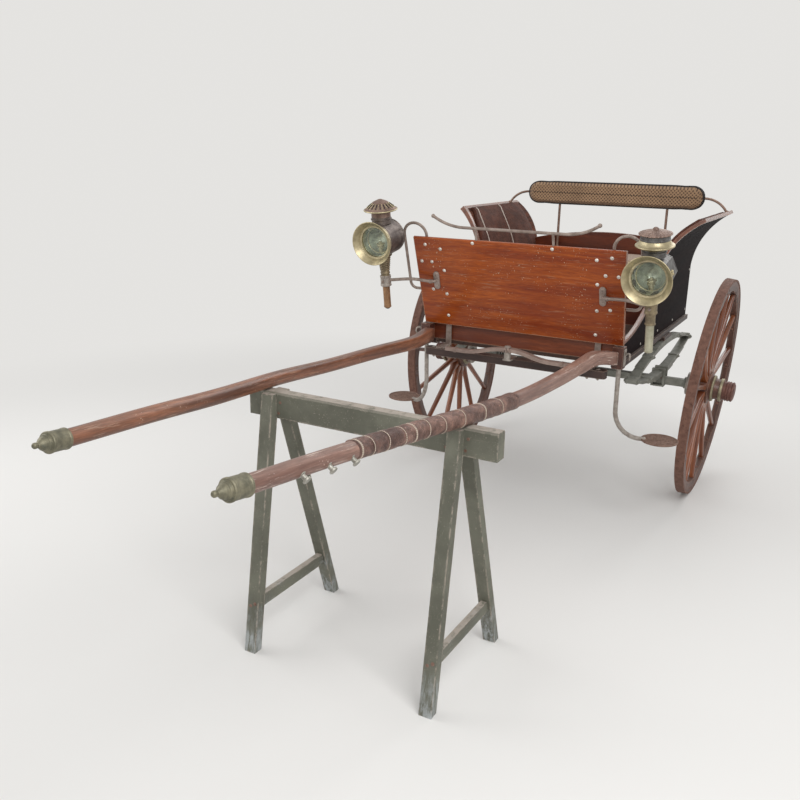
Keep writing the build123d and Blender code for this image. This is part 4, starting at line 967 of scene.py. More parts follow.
DARK_PIPING = Cord("dark_piping", light=(0.03, 0.022, 0.018), dark=(0.012, 0.01, 0.01), pitch=0.004)
PALE_PIPING = Cord("pale_piping", light=(0.66, 0.57, 0.5), dark=(0.42, 0.34, 0.29), pitch=0.004, roughness=0.6)
GLASS = Glass("clear_lamp_glass")


# Mesh making.


def angles(count: int, shift: float = 0.0) -> list[float]:
    """Equal steps round a full turn; shift moves them by a share of a step."""
    return [2 * math.pi * (i + shift) / count for i in range(count)]


def circle(radius: float, sides: int) -> list[tuple[float, float]]:
    """Points of a circle round the origin."""
    return [(radius * math.cos(a), radius * math.sin(a)) for a in angles(sides)]


def metres(profile: Outline) -> list[tuple[float, float]]:
    """A profile's millimetres as metres."""
    return [(a / 1000, b / 1000) for a, b in profile]


def rolled(along: float, radius: float, bead: float) -> list[tuple[float, float]]:
    """A rolled edge in a turned profile, from its middle along and off the axis and its bead's radius."""
    round_bead = [math.pi * i / 8 - math.pi / 2 for i in range(9)]
    return [(along + bead * math.sin(a), radius + bead * math.cos(a)) for a in round_bead]


def rounded_rectangle(width: float, depth: float, corner: float, steps: int = 5) -> list[tuple[float, float]]:
    """Outline of a rectangle with round corners, anticlockwise.

    Args:
        width: full width.
        depth: full depth.
        corner: corner radius.
        steps: points of each corner.

    Returns:
        The outline's points.
    """
    corner = min(corner, width / 2 - 1e-6, depth / 2 - 1e-6)
    points = []
    for quarter, (across, rise) in enumerate(((1, 1), (-1, 1), (-1, -1), (1, -1))):
        middle = (across * (width / 2 - corner), rise * (depth / 2 - corner))
        for step in range(steps):
            angle = math.pi / 2 * (quarter + step / (steps - 1))
            points.append((middle[0] + corner * math.cos(angle), middle[1] + corner * math.sin(angle)))
    return points


def smooth_path(points: Sequence[Point], steps: int = 8) -> list[Vector]:
    """A smooth curve through points.

    Args:
        points: the points that it passes.
        steps: pieces between two points.

    Returns:
        The curve's points.
    """
    knots = [Vector(point) for point in points]
    knots = [knots[0] * 2 - knots[1], *knots, knots[-1] * 2 - knots[-2]]
    path = []
    for a, b, c, d in zip(knots, knots[1:], knots[2:], knots[3:]):
        for step in range(steps):
            t = step / steps
            cubic = (b * 3 - a - c * 3 + d) * t**3
            path.append((b * 2 + (c - a) * t + (a * 2 - b * 5 + c * 4 - d) * t * t + cubic) / 2)
    path.append(knots[-2])
    return path


def blend_rows(rows: Sequence[Sequence[float]], place: float) -> list[float]:
    """Reads a table smoothly between its rows.

    Args:
        rows: rows sorted by their first column.
        place: the first column's value.

    Returns:
        The other columns' values there.
    """
    index = max(0, min(len(rows) - 2, sum(row[0] <= place for row in rows) - 1))
    near, far = rows[index], rows[index + 1]
    before = rows[index - 1] if index else [2 * a - b for a, b in zip(near, far)]
    after = rows[index + 2] if index + 2 < len(rows) else [2 * b - a for a, b in zip(near, far)]
    span = far[0] - near[0]
    t = (place - near[0]) / span
    made = []
    for column in range(1, len(near)):
        start = (far[column] - before[column]) / (far[0] - before[0]) * span
        end = (after[column] - near[column]) / (after[0] - near[0]) * span
        a, b = near[column], far[column]
        values = a * (2 * t**3 - 3 * t**2 + 1) + b * (3 * t**2 - 2 * t**3)
        made.append(values + start * (t**3 - 2 * t**2 + t) + end * (t**3 - t**2))
    return made


def linked(name: str, data: bpy.types.ID) -> bpy.types.Object:
    """Puts data into the scene.

    Args:
        name: the object's name.
        data: its mesh, light or camera.

    Returns:
        The object.
    """
    made = bpy.data.objects.new(name, data)
    bpy.context.scene.collection.objects.link(made)
    return made


class Form:
    """A mesh under construction, in metres, that knows where each point lies along and across the grain."""

    def __init__(self, name: str) -> None:
        """Starts an empty mesh.

        Args:
            name: the piece's name.
        """
        self.name = name
        self.points: list[Vector] = []
        self.faces: list[tuple[int, ...]] = []
        self.grain: list[tuple[float, float, float]] = []
        self.looks: list[int] = []

    def loft(
        self,
        rings: Sequence[Sequence[Point]],
        grain: Sequence[Sequence[tuple[float, float, float]]] | None = None,
        look: int = 0,
        capped: bool = True,
    ) -> None:
        """Adds a skin over rings of points.

        Args:
            rings: rings of equal length.
            grain: the grain place of every point.
            look: the number of its finish.
            capped: whether the first and last ring are filled.
        """
        base, count = len(self.points), len(rings[0])
        for index, ring in enumerate(rings):
            self.points.extend(Vector(point) for point in ring)
            self.grain.extend(grain[index] if grain else ((0.0, 0.0, 0.0),) * count)
        faces = []
        for row in range(len(rings) - 1):
            for side in range(count):
                a = base + row * count + side
                b = base + row * count + (side + 1) % count
                faces.append((a, b, b + count, a + count))
        if capped:
            faces.append(tuple(range(base + count - 1, base - 1, -1)))
            last = base + (len(rings) - 1) * count
            faces.append(tuple(range(last, last + count)))
        self.faces.extend(faces)
        self.looks.extend([look] * len(faces))

    def sweep(
        self,
        path: Sequence[Point],
        section: Sequence[tuple[float, float]],
        look: int = 0,
        up: Point = (0.0, 0.0, 1.0),
        size: Callable[[float], float] | None = None,
        looped: bool = False,
    ) -> None:
        """Carries a section along a path.

        Args:
            path: the path's points.
            section: the section's points, across and up.
            look: the number of its finish.
            up: the way that the section's top faces at the start.
            size: the section's scale for a share of the path from 0 to 1.
            looped: whether the path closes.
        """
        path = [Vector(point) for point in path]
        count = len(path)
        top = Vector(up)
        along, rings, grain = 0.0, [], []
        for index, point in enumerate(path):
            before = path[index - 1] if index or looped else path[index]
            after = path[(index + 1) % count] if index + 1 < count or looped else path[index]
            ahead = (after - before).normalized()
            top = (top - ahead * top.dot(ahead)).normalized()
            side = top.cross(ahead)
            if index:
                along += (point - path[index - 1]).length
            scale = size(index / (count - 1)) if size else 1.0
            rings.append([point + (side * a + top * b) * scale for a, b in section])
            grain.append([(along, a * scale, b * scale) for a, b in section])
        if looped:
            rings.append(rings[0])
            grain.append([(along + (path[0] - path[-1]).length, a, b) for _, a, b in grain[0]])
        self.loft(rings, grain, look, capped=not looped)

    def tube(self, path: Sequence[Point], radius: float, look: int = 0, sides: int = 12, **options: object) -> None:
        """Adds a round bar along a path."""
        self.sweep(path, circle(radius, sides), look, **options)

    def loop(self, path: Sequence[Point], radius: float, look: int = 0, sides: int = 8) -> None:
        """Adds a round bar along a closed path."""
        self.tube(path, radius, look, sides, looped=True)

    def turned(
        self, origin: Point, axis: Point, profile: Sequence[tuple[float, float]], look: int = 0, sides: int = 40
    ) -> None:
        """Adds a turned body.

        Args:
            origin: the place where distances along the axis start.
            axis: the axis.
            profile: distance along the axis and radius.
            look: the number of its finish.
            sides: points round the axis.
        """
        axis = Vector(axis).normalized()
        side = axis.orthogonal().normalized()
        other = axis.cross(side)
        rings, grain = [], []
        for along, radius in profile:
            outline = circle(max(radius, 1e-5), sides)
            rings.append([Vector(origin) + axis * along + side * a + other * b for a, b in outline])
            grain.append([(along, a, b) for a, b in outline])
        self.loft(rings, grain, look, capped=tuple(profile[0]) != tuple(profile[-1]))

    def block(
        self, centre: Point, size: Point, chamfer: float = 0.0015, look: int = 0, turn: Matrix | None = None
    ) -> None:
        """Adds a block with chamfered edges.

        Args:
            centre: its middle.
            size: its full size.
            chamfer: the chamfer.
            look: the number of its finish.
            turn: its rotation; the cart's own by default.
        """
        turn = turn or CART.turn
        wide, deep, high = Vector(size) / 2
        rings = []
        for level, inset in ((-high, chamfer), (chamfer - high, 0.0), (high - chamfer, 0.0), (high, chamfer)):
            a, b, c = wide - inset, deep - inset, chamfer
            outline = (
                (a, c - b), (a, b - c), (a - c, b), (c - a, b), (-a, b - c), (-a, c - b), (c - a, -b), (a - c, -b),
            )
            rings.append([Vector(centre) + turn @ Vector((x, y, level)) for x, y in outline])
        self.loft(rings, look=look)

    def bolt(self, place: Point, axis: Point, radius: float = 0.007, height: float = 0.004, look: int = 0) -> None:
        """Adds a domed bolt head on a thin washer.

        Args:
            place: the middle of its seat.
            axis: the way that it faces.
            radius: the head's radius.
            height: the head's height.
            look: the number of its finish.
        """
        profile = [(-0.001, radius * 1.25), (0.0008, radius * 1.25), (0.001, radius)]
        profile += [(height * math.sin(a), radius * math.cos(a)) for a in (0.4, 0.75, 1.1, 1.4)] + [(height, 0.0)]
        self.turned(place, axis, profile, look, 14)

    def nut(self, place: Point, axis: Point, across: float = 0.018, height: float = 0.009, look: int = 0) -> None:
        """Adds a six-sided nut on a washer, with a bolt end through it.

        Args:
            place: the middle of its seat.
            axis: the way that it faces.
            across: its width.
            height: its height.
            look: the number of its finish.
        """
        self.turned(place, axis, [(-0.001, across * 0.72), (0.0015, across * 0.72), (0.0017, across * 0.4)], look, 16)
        profile = [(0.0, across * 0.5), (height * 0.85, across * 0.58), (height, across * 0.5), (height, 0.0)]
        self.turned(place, axis, profile, look, 6)
        self.turned(place, axis, [(0.0, across * 0.3), (height * 1.5, across * 0.3), (height * 1.6, 0.0)], look, 12)

    def mesh(self) -> bpy.types.Mesh:
        """The form as a mesh with its faces turned outwards."""
        mesh = bpy.data.meshes.new(self.name)
        mesh.from_pydata(self.points, [], self.faces)
        shell = bmesh.new()
        shell.from_mesh(mesh)
        bmesh.ops.recalc_face_normals(shell, faces=shell.faces)
        shell.to_mesh(mesh)
        shell.free()
        return mesh

    def make(
        self, finishes: Sequence[Finish], body: str, replaces: Sequence[str] = (), sharp: float = 40.0
    ) -> bpy.types.Object:
        """Turns the form into a piece that rides on a body.

        Args:
            finishes: its finishes, by number.
            body: the body that it moves with.
            replaces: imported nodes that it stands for.
            sharp: angle in degrees above which an edge stays hard.

        Returns:
            The piece.
        """
        mesh = self.mesh()
        for finish in finishes:
            mesh.materials.append(finish.material())
        mesh.polygons.foreach_set("material_index", self.looks)
        grain = mesh.attributes.new("grain", "FLOAT_VECTOR", "POINT")
        grain.data.foreach_set("vector", [value for place in self.grain for value in place])
        mesh.shade_smooth()
        mesh.set_sharp_from_angle(angle=math.radians(sharp))
        piece = linked(self.name, mesh)
        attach(piece, body)
        if replaces:
            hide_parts(*replaces)
        log.info("made %s: %d faces", self.name, len(self.faces))
        return piece


class Assembly:
    """One sub-assembly of the gig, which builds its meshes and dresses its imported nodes."""

    def dress(self, finish: Finish, *names: str) -> None:
        """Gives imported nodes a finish.

        Args:
            finish: the surface.
            names: the nodes.
        """
        for name in names:
            mesh = frame["nodes"][name].data
            mesh.materials.clear()
            mesh.materials.append(finish.material())

    def build(self) -> None:
        """Makes every piece of the sub-assembly."""
        raise NotImplementedError


@dataclass
class Shafts(Assembly):
    """The two shafts, bound on the left side with leather and twine.

    Attributes:
        stations: forward, half spacing, height, width, depth and corner radius in millimetres.
        timber: forward positions where the wood starts and ends.
        ferrule: forward position of the bronze end's foot.
        tip: forward, left and up of the left shaft's end.
        wrap: forward positions where the leather starts and ends.
        leather: the leather's thickness.
        rings: forward positions of the twine rings.
    """

    stations: tuple[tuple[float, ...], ...] = (
        (880, 436, 296, 50, 59, 5),
        (990, 396, 313, 47.5, 55.5, 6),
        (1130, 382, 309, 45, 52, 8),
        (1450, 391.6, 325.5, 43.6, 49.3, 12),
        (1790, 389.5, 343.7, 43.3, 48.4, 16),
        (2130, 372.1, 373.3, 44.1, 49, 19),
        (2470, 330.3, 400.8, 45.1, 49.1, 22),
        (2780, 301, 429.7, 45.2, 47.3, 22),
        (3061, 277.3, 451.2, 45, 45.2, 22),
        (3090, 275.0, 454.3, 45, 45.2, 22),
    )
    timber: tuple[float, float] = (880, 3084)
    ferrule: float = 3061
    tip: tuple[float, float, float] = (3179, 268, 464)
    wrap: tuple[float, float] = (1870, 2720)
    leather: float = 3.0
    rings: tuple[float, ...] = (2708, 2660, 2595, 2521, 2471, 2409, 2332, 2233, 2113, 2001)

    def outline(self, hand: int, place: float, proud: float = 0.0, steps: int = 7) -> list[Vector]:
        """One ring of points round a shaft.

        Args:
            hand: 1 for the left shaft, -1 for the right.
            place: forward position in millimetres.
            proud: how far the ring stands off the wood.
            steps: points of each corner.

        Returns:
            The ring.
        """
        spread, height, width, depth, corner = blend_rows(self.stations, place)
        section = rounded_rectangle(width + 2 * proud, depth + 2 * proud, corner + proud, steps)
        return [CART.at(place, hand * spread + a, height + b) for a, b in section]

    def shaft(self, side: str, hand: int) -> None:
        """Makes one shaft.

        Args:
            side: its name.
            hand: 1 for left, -1 for right.
        """
        form = Form(f"shaft_timber_{side}")
        start, end = self.timber
        places = [start + (end - start) * i / 110 for i in range(111)]
        rings, grain = [], []
        for place in places:
            _, _, width, depth, corner = blend_rows(self.stations, place)
            section = rounded_rectangle(width, depth, corner, 7)
            rings.append(self.outline(hand, place))
            grain.append([(place / 1000 + 9 * hand, a / 1000, b / 1000) for a, b in section])
        form.loft(rings, grain)
        # The left shaft's paler finish is partly a painted highlight.
        form.make([NEAR_SHAFT if hand == LEFT else FAR_SHAFT], "cart", [f"shaft_{side}"])

    def bandage(self) -> None:
        """Makes the leather round the left shaft, flat where it presses on the trestle."""
        low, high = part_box("trestle_beam")
        form = Form("shaft_leather")
        chance = random.Random(4)
        start, end = self.wrap
        places = [start + (end - start) * i / 260 for i in range(261)]
        shift = [chance.uniform(-1, 1) for _ in range(400)]
        outer, grain = [], []
        for index, place in enumerate(places):
            pinch = max(math.exp(-(((place - ring) / 5) ** 2)) for ring in self.rings)
            ring = []
            edge = 1.0 if 0 < index < len(places) - 1 else -1.4
            for corner, point in enumerate(self.outline(LEFT, place, 1.0, 7)):
                swell = 0.5 * math.sin(place / 23 + corner * 0.9) + 0.45 * math.sin(place / 9.0 - corner * 1.7)
                swell += 0.35 * shift[(index // 4 * 7 + corner) % len(shift)] * (1 - pinch)
                lap = 1.3 if 9 <= corner <= 12 else 0.0
                proud = edge + self.leather - 2.4 - 1.1 * pinch + 0.8 * swell * (1 - pinch) + lap
                spread, height = blend_rows(self.stations, place)[:2]
                middle = CART.at(place, spread, height)
                moved = point + (point - middle).normalized() * proud / 1000
                if low.x <= moved.x <= high.x and moved.y <= high.y:
                    moved.z = max(moved.z, high.z + 0.0004)
                ring.append(moved)
            outer.append(ring)
            grain.append([(place / 1000, math.cos(c * 0.224) * 0.03, math.sin(c * 0.224) * 0.03) for c in range(28)])
        form.loft(outer, grain)
        for number, place in enumerate(self.rings):
            for turn in range(1 if number % 4 else 2):
                line = self.twine(place + turn * 3.4, 6 * math.sin(number * 2.3))
                for point in line:
                    if low.x <= point.x <= high.x and point.y <= high.y:
                        point.z = max(point.z, high.z + 0.001)
                form.loop(line, 0.0011, 1, 6)
        piece = form.make([WRAP_HIDE, TWINE], "cart", ["shaft_wrap_left"])

    def twine(self, place: float, slant: float) -> list[Vector]:
        """One turn of twine round the left shaft.

        Args:
            place: forward position in millimetres.
            slant: how far the turn leans forward across the shaft.

        Returns:
            The turn's points.
        """
        ring = self.outline(LEFT, place, self.leather - 0.4, 7)
        ahead = CART.forward * slant / 2000
        return [point + ahead * math.sin(2 * math.pi * index / len(ring)) for index, point in enumerate(ring)]

    def ferrules(self) -> None:
        """Makes the turned bronze end of each shaft."""
        form = Form("ferrule_ends")
        turned = [(20, 0), (20, 25), (21.5, 27.2), (26, 27.2), (28, 26), (68, 26), (70, 27.2), (75, 27.2), (77, 25.5),
                  (78, 22), (81, 21.5), (84, 20.5), (86, 17.5), (92, 16), (96, 12), (101, 9), (103, 6.6), (105, 6),
                  (107, 6.8), (110, 7.6), (114, 7.4), (117, 5), (118.5, 0)]
        forward, left, up = self.tip
        spread, height = blend_rows(self.stations, self.ferrule)[:2]
        for hand in (LEFT, RIGHT):
            root = CART.at(self.ferrule, hand * spread, height)
            form.turned(root, CART.at(forward, hand * left, up) - root, metres(turned))
        form.make([BRONZE], "cart", ["shaft_ferrules"], sharp=30)

    def build(self) -> None:
        """Makes the shafts and dresses their metal."""
        for side, hand in SIDES:
            self.shaft(side, hand)
        self.bandage()
        self.ferrules()
        self.dress(STUD_METAL, "shaft_studs")


@dataclass
class Dash(Assembly):
    """The dash board with its bolts, irons and rails.

    Attributes:
        foot: forward and up of the face's lower edge in millimetres.
        head: the same for its upper edge.
        thickness: the board's thickness.
        bolts: left and rise of each bolt on the face.
    """

    foot: tuple[float, float] = (850, 346)
    head: tuple[float, float] = (976, 754)
    thickness: float = 16
    bolts: tuple[tuple[float, float], ...] = (
        (-425.8, 393.5), (-352.0, 376.6), (-451.7, 311.8), (-401.0, 312.1), (-343.2, 274.3), (-409.4, 176.6),
        (-342.0, 158.9), (-346.0, 49.1), (-191.4, 415.6), (171.5, 415.6), (360.0, 381.9), (422.8, 395.3),
        (396.1, 316.1), (449.9, 315.4), (361.2, 274.0), (358.1, 153.1), (415.1, 162.0), (351.1, 38.7),
    )

    def at(self, left: float, rise: float, out: float = 0.0) -> Vector:
        """A place on the board's face.

        Args:
            left: millimetres from the board's middle.
            rise: millimetres up the face from its foot.
            out: millimetres out of the face.

        Returns:
            The place.
        """
        run, climb = self.head[0] - self.foot[0], self.head[1] - self.foot[1]
        length = math.hypot(run, climb)
        lean, stand = run / length, climb / length
        return CART.at(self.foot[0] + rise * lean + out * stand, left, self.foot[1] + rise * stand - out * lean)

    @property
    def out(self) -> Vector:
        """The way that the face looks."""
        return (self.at(0, 0, 1) - self.at(0, 0, 0)).normalized()

    def build(self) -> None:
        """Makes the bolts and dresses the board."""
        form = Form("dash_bolts")
        for left, rise in self.bolts:
            form.bolt(self.at(left, rise), self.out, 0.0062, 0.0042)
            iron = 8 if abs(abs(left) - 352) < 12 else 0
            form.nut(self.at(left, rise, -self.thickness - iron), -self.out, 0.012, 0.006)
        form.make([BOLT_HEAD], "cart")
        self.dress(DASH_VARNISH, "dash_board")
        self.dress(RAIL_IRON, "dash_irons", "rein_rail", "grab_rails")


@dataclass
class Draught(Assembly):
    """The cross bar, the swingletree and the small irons at the shafts' roots.

    Attributes:
        bar: forward and up of the swingletree's middle in millimetres.
        knot_up: height of the strap's knot in its middle.
        hook: forward position of the trace hooks' plates.
    """

    bar: tuple[float, float] = (975, 263)
    knot_up: float = 295
    hook: float = 857

    def build(self) -> None:
        """Makes the bindings and hooks and dresses the bar."""
        # The cross bar under the body is darkened partly as painted shade.
        self.dress(DARK_TIMBER_AND_SHADE, "cross_bar")
        self.dress(CORNER_VARNISH, "corner_blocks")
        self.dress(BAR_PAINT, "swingletree")
        self.dress(PALE_IRON, "swingletree_bracket")
        self.binding()
        self.hooks()

    def binding(self) -> None:
        """Makes the knot of strap at the swingletree's middle and two rings near each tip."""
        form = Form("swingletree_binding")
        forward, up = self.bar
        for shift, lean in ((-11, 5), (-3, -4), (6, 3), (13, -5)):
            section = rounded_rectangle(38, 20.5, 7, 4)
            line = [CART.at(forward + a, shift + lean * b / 10, self.knot_up + b) for a, b in section]
            form.loop(line, 0.0028)
        for hand in (LEFT, RIGHT):
            for shift in (248, 254):
                section = rounded_rectangle(33, 19, 6, 4)
                form.loop([CART.at(forward + a, hand * shift, up + b) for a, b in section], 0.002)
        form.make([BAR_PAINT], "swingletree")

    def hooks(self) -> None:
        """Makes the trace hook, plate and bolts on each corner block, and the pins under the bar."""
        form = Form("corner_irons")
        for hand in (LEFT, RIGHT):
            face = HALF_WIDTH + 26
            form.block(CART.at(self.hook, hand * (face + 2), 300), (0.03, 0.004, 0.074), 0.0012)
            for height in (274, 327):
                form.bolt(CART.at(self.hook, hand * (face + 4), height), (0, hand, 0), 0.0052, 0.0035)
            curve = [(0, 4, 312), (3, 14, 318), (11, 24, 318), (19, 27, 308), (17, 26, 296), (9, 24, 293)]
            hook = smooth_path([CART.at(self.hook + u, hand * (face + y), v) for u, y, v in curve], 6)
            form.tube(hook, 0.0045, 0, 10, size=lambda share: 1.15 - 0.5 * share)
            for place in (345, 392):
                form.nut(CART.at(915, hand * place, 213), -CART.up, 0.015, 0.008)
                form.bolt(CART.at(915, hand * place, 247), CART.up, 0.007, 0.004)
        form.make([PALE_IRON], "cart")


@dataclass
class Body(Assembly):
    """The gig's wooden body: boards, panels, sills, rails and their fixings.

    Attributes:
        bolts: forward and up of the bolts through each side panel.
    """

    bolts: tuple[tuple[float, float], ...] = ((-492, 300), (-492, 520), (-180, 290), (150, 290), (480, 285), (790, 290))

    def build(self) -> None:
        """Dresses the boards and adds the fixings."""
        self.dress(PANEL_VARNISH, "front_panel")
        self.dress(BODY_VARNISH, "back_board", "seat_board", "seat_riser", "tail_board")
        self.dress(FLOOR_VARNISH, "floor_boards")
        self.dress(DARK_PANEL, "side_panel_left", "side_panel_right")
        self.dress(RAIL_VARNISH, "top_rail_left", "top_rail_right")
        # The sills under the body are darkened partly as painted shade.
        self.dress(DARK_TIMBER_AND_SHADE, "sills")
        self.dress(SPRING_STEEL, "tail_straps", "tail_hinge_pins")
        form = Form("body_screws")
        for hand in (LEFT, RIGHT):
            for forward, up in self.bolts:
                form.bolt(CART.at(forward, hand * HALF_WIDTH, up), (0, hand, 0), 0.0048, 0.0018)
            for forward in (310, 470, 630, 790):
                form.bolt(CART.at(forward, hand * 396, 269), CART.up, 0.0042, 0.0012)
            for left in (120, 250, 380):
                form.bolt(CART.at(-14, hand * left, 474), CART.forward, 0.0042, 0.0012)
        form.make([BOLT_HEAD], "cart")


@dataclass
class WingLining(Assembly):
    """The padded leather inside the wings, with an edge roll and two pale rows of piping.

    Attributes:
        foot: height of the leather's lower edge, in millimetres.
        spring: height where the flare starts.
        radius: the flare's radius.
        sweep: how far the leather follows the flare, in degrees.
        thickness: the leather's thickness.
        panel: the side panel's thickness.
        pipings: inset of each row of pale piping from the front edge at the top.
        slant: how much further back each row sits at the foot.
    """

    foot: float = 504
    spring: float = 531
    radius: float = 341
    sweep: float = 56.4
    thickness: float = 14
    panel: float = 14
    pipings: tuple[float, ...] = (40, 350)
    slant: float = 75

    def face(self, climb: float) -> tuple[float, float, float, float]:
        """The lining's inner face at a distance up from the seat.

        Args:
            climb: distance along the section in millimetres, 0 at the foot.

        Returns:
            Left, up and the normal's left and up, before mirroring.
        """
        straight = self.spring - self.foot
        inner = self.radius + self.panel + 1
        if climb <= straight:
            return HALF_WIDTH - self.panel - 1, self.foot + climb, -1.0, 0.0
        angle = min((climb - straight) / inner, math.radians(self.sweep))
        left = HALF_WIDTH + self.radius - inner * math.cos(angle)
        return left, self.spring + inner * math.sin(angle), -math.cos(angle), math.sin(angle)

    @property
    def height(self) -> float:
        """Distance up the section from foot to top."""
        return self.spring - self.foot + (self.radius + self.panel + 1) * math.radians(self.sweep)

    def front(self, climb: float) -> float:
        """Forward position of the lining's front edge at a distance up.

        Args:
            climb: distance along the section.

        Returns:
            The forward position in millimetres.
        """
        up = self.face(climb)[1]
        rows = ((504, 279), (560, 283), (620, 270), (680, 252), (735, 224), (780, 180), (815, 122))
        return blend_rows(rows, min(up, 815))[0]

    def skin(self, hand: int, side: str) -> None:
        """Makes one lining.

        Args:
            hand: 1 for left, -1 for right.
            side: its name.
        """
        form = Form(f"wing_leather_{side}")
        chance = random.Random(7 + hand)
        bumps = [(chance.uniform(-460, 260), chance.uniform(20, 360), chance.uniform(25, 80), chance.uniform(-1.4, 1.6))
                 for _ in range(46)]
        rows, columns = 46, 72
        fronts, backs, grain = [], [], []
        for row in range(rows + 1):
            climb = 1.5 + (self.height - 3) * row / rows
            left, up, out_y, out_z = self.face(climb)
            end = self.front(climb)
            start = -478.0 if climb < 250 else -478 - (climb - 250) * 0.35
            line, back, marks = [], [], []
            for column in range(columns + 1):
                share = column / columns
                place = start + (end - start) * share
                inset = min(end - place, self.height - climb, place - start + 4, climb + 4)
                soft = 1 - math.exp(-max(inset, 0) / 9)
                swell = sum(
                    strength * math.exp(-(((place - a) / wide) ** 2) - (((climb - b) / wide) ** 2))
                    for a, b, wide, strength in bumps
                )
                rim = 5.5 * math.exp(-(((min(end - place, self.height - climb) - 6) / 5.5) ** 2))
                behind = end - place - self.slant * (1 - climb / self.height)
                groove = sum(2.2 * math.exp(-(((behind - line_at) / 3.5) ** 2)) for line_at in self.pipings)
                proud = self.thickness * 0.55 + soft * 5.0 + swell * soft + rim - groove * (climb > 20)
                for edge, off in ((line, proud), (back, 0.4)):
                    edge.append(CART.at(place, hand * (left + out_y * off), up + out_z * off))
                marks.append((place / 1000, climb / 1000, 0.0))
            fronts.append(line)
            backs.append(back)
            grain.append(marks)
        rings = [line + back[::-1] for line, back in zip(fronts, backs)]
        form.loft(rings, [marks + marks[::-1] for marks in grain])
        for inset in self.pipings:
            path = []
            for step in range(60):
                climb = 14 + (self.height - 22) * step / 59
                left, up, out_y, out_z = self.face(climb)
                proud = self.thickness * 0.55 + 4.6
                place = self.front(climb) - inset - self.slant * (1 - climb / self.height)
                path.append(CART.at(place, hand * (left + out_y * proud), up + out_z * proud))
            form.tube(path, 0.0036, 1, 8)
        piece = form.make([HIDE, PALE_PIPING], "cart", [f"side_lining_{side}"], sharp=60)

    def build(self) -> None:
        """Makes both linings."""
        for side, hand in SIDES:
            self.skin(hand, side)


STUFFING = {
    "use_pressure": True, "quality": 6, "tension_stiffness": 12, "compression_stiffness": 4, "bending_stiffness": 0.8,
}


def inflate(shell: bpy.types.Object, cell: float, pressure: float, limit: float) -> bpy.types.Object:
    """Blows up a closed shell as stuffed cloth.

    Args:
        shell: the closed shell.
        cell: mesh size in metres.
        pressure: the pressure inside.
        limit: how far a point may move, in metres.

    Returns:
        The blown-up object.
    """
    scene = bpy.context.scene
    bpy.context.view_layer.objects.active = shell
    shell.select_set(True)
    shell.data.remesh_voxel_size = cell
    bpy.ops.object.voxel_remesh()
    start = [vertex.co.copy() for vertex in shell.data.vertices]
    cloth = shell.modifiers.new("cloth", "CLOTH")
    for key, value in STUFFING.items():
        setattr(cloth.settings, key, value)
    cloth.settings.uniform_pressure_force = pressure
    cloth.settings.effector_weights.gravity = 0.0
    for number in range(1, 21):
        scene.frame_set(number)
    seen = shell.evaluated_get(bpy.context.evaluated_depsgraph_get())
    moved = [vertex.co.copy() for vertex in seen.data.vertices]
    shell.modifiers.clear()
    for vertex, before, after in zip(shell.data.vertices, start, moved):
        shift = after - before
        vertex.co = before + shift * min(1.0, limit / max(shift.length, 1e-9))
    scene.frame_set(1)
    smooth = shell.modifiers.new("smooth", "SUBSURF")
    smooth.levels = smooth.render_levels = 1
    bpy.ops.object.modifier_apply(modifier="smooth")
    shell.data.shade_smooth()
    shell.select_set(False)
    return shell


def drape(tree: BVHTree, points: Sequence[Vector], lift: float) -> list[Vector]:
    """Lays points on a surface, lifted off it by a distance in metres."""
    found = [(tree.find_nearest(point)[0], point) for point in points]
    return [spot + (point - spot).normalized() * lift for spot, point in found]


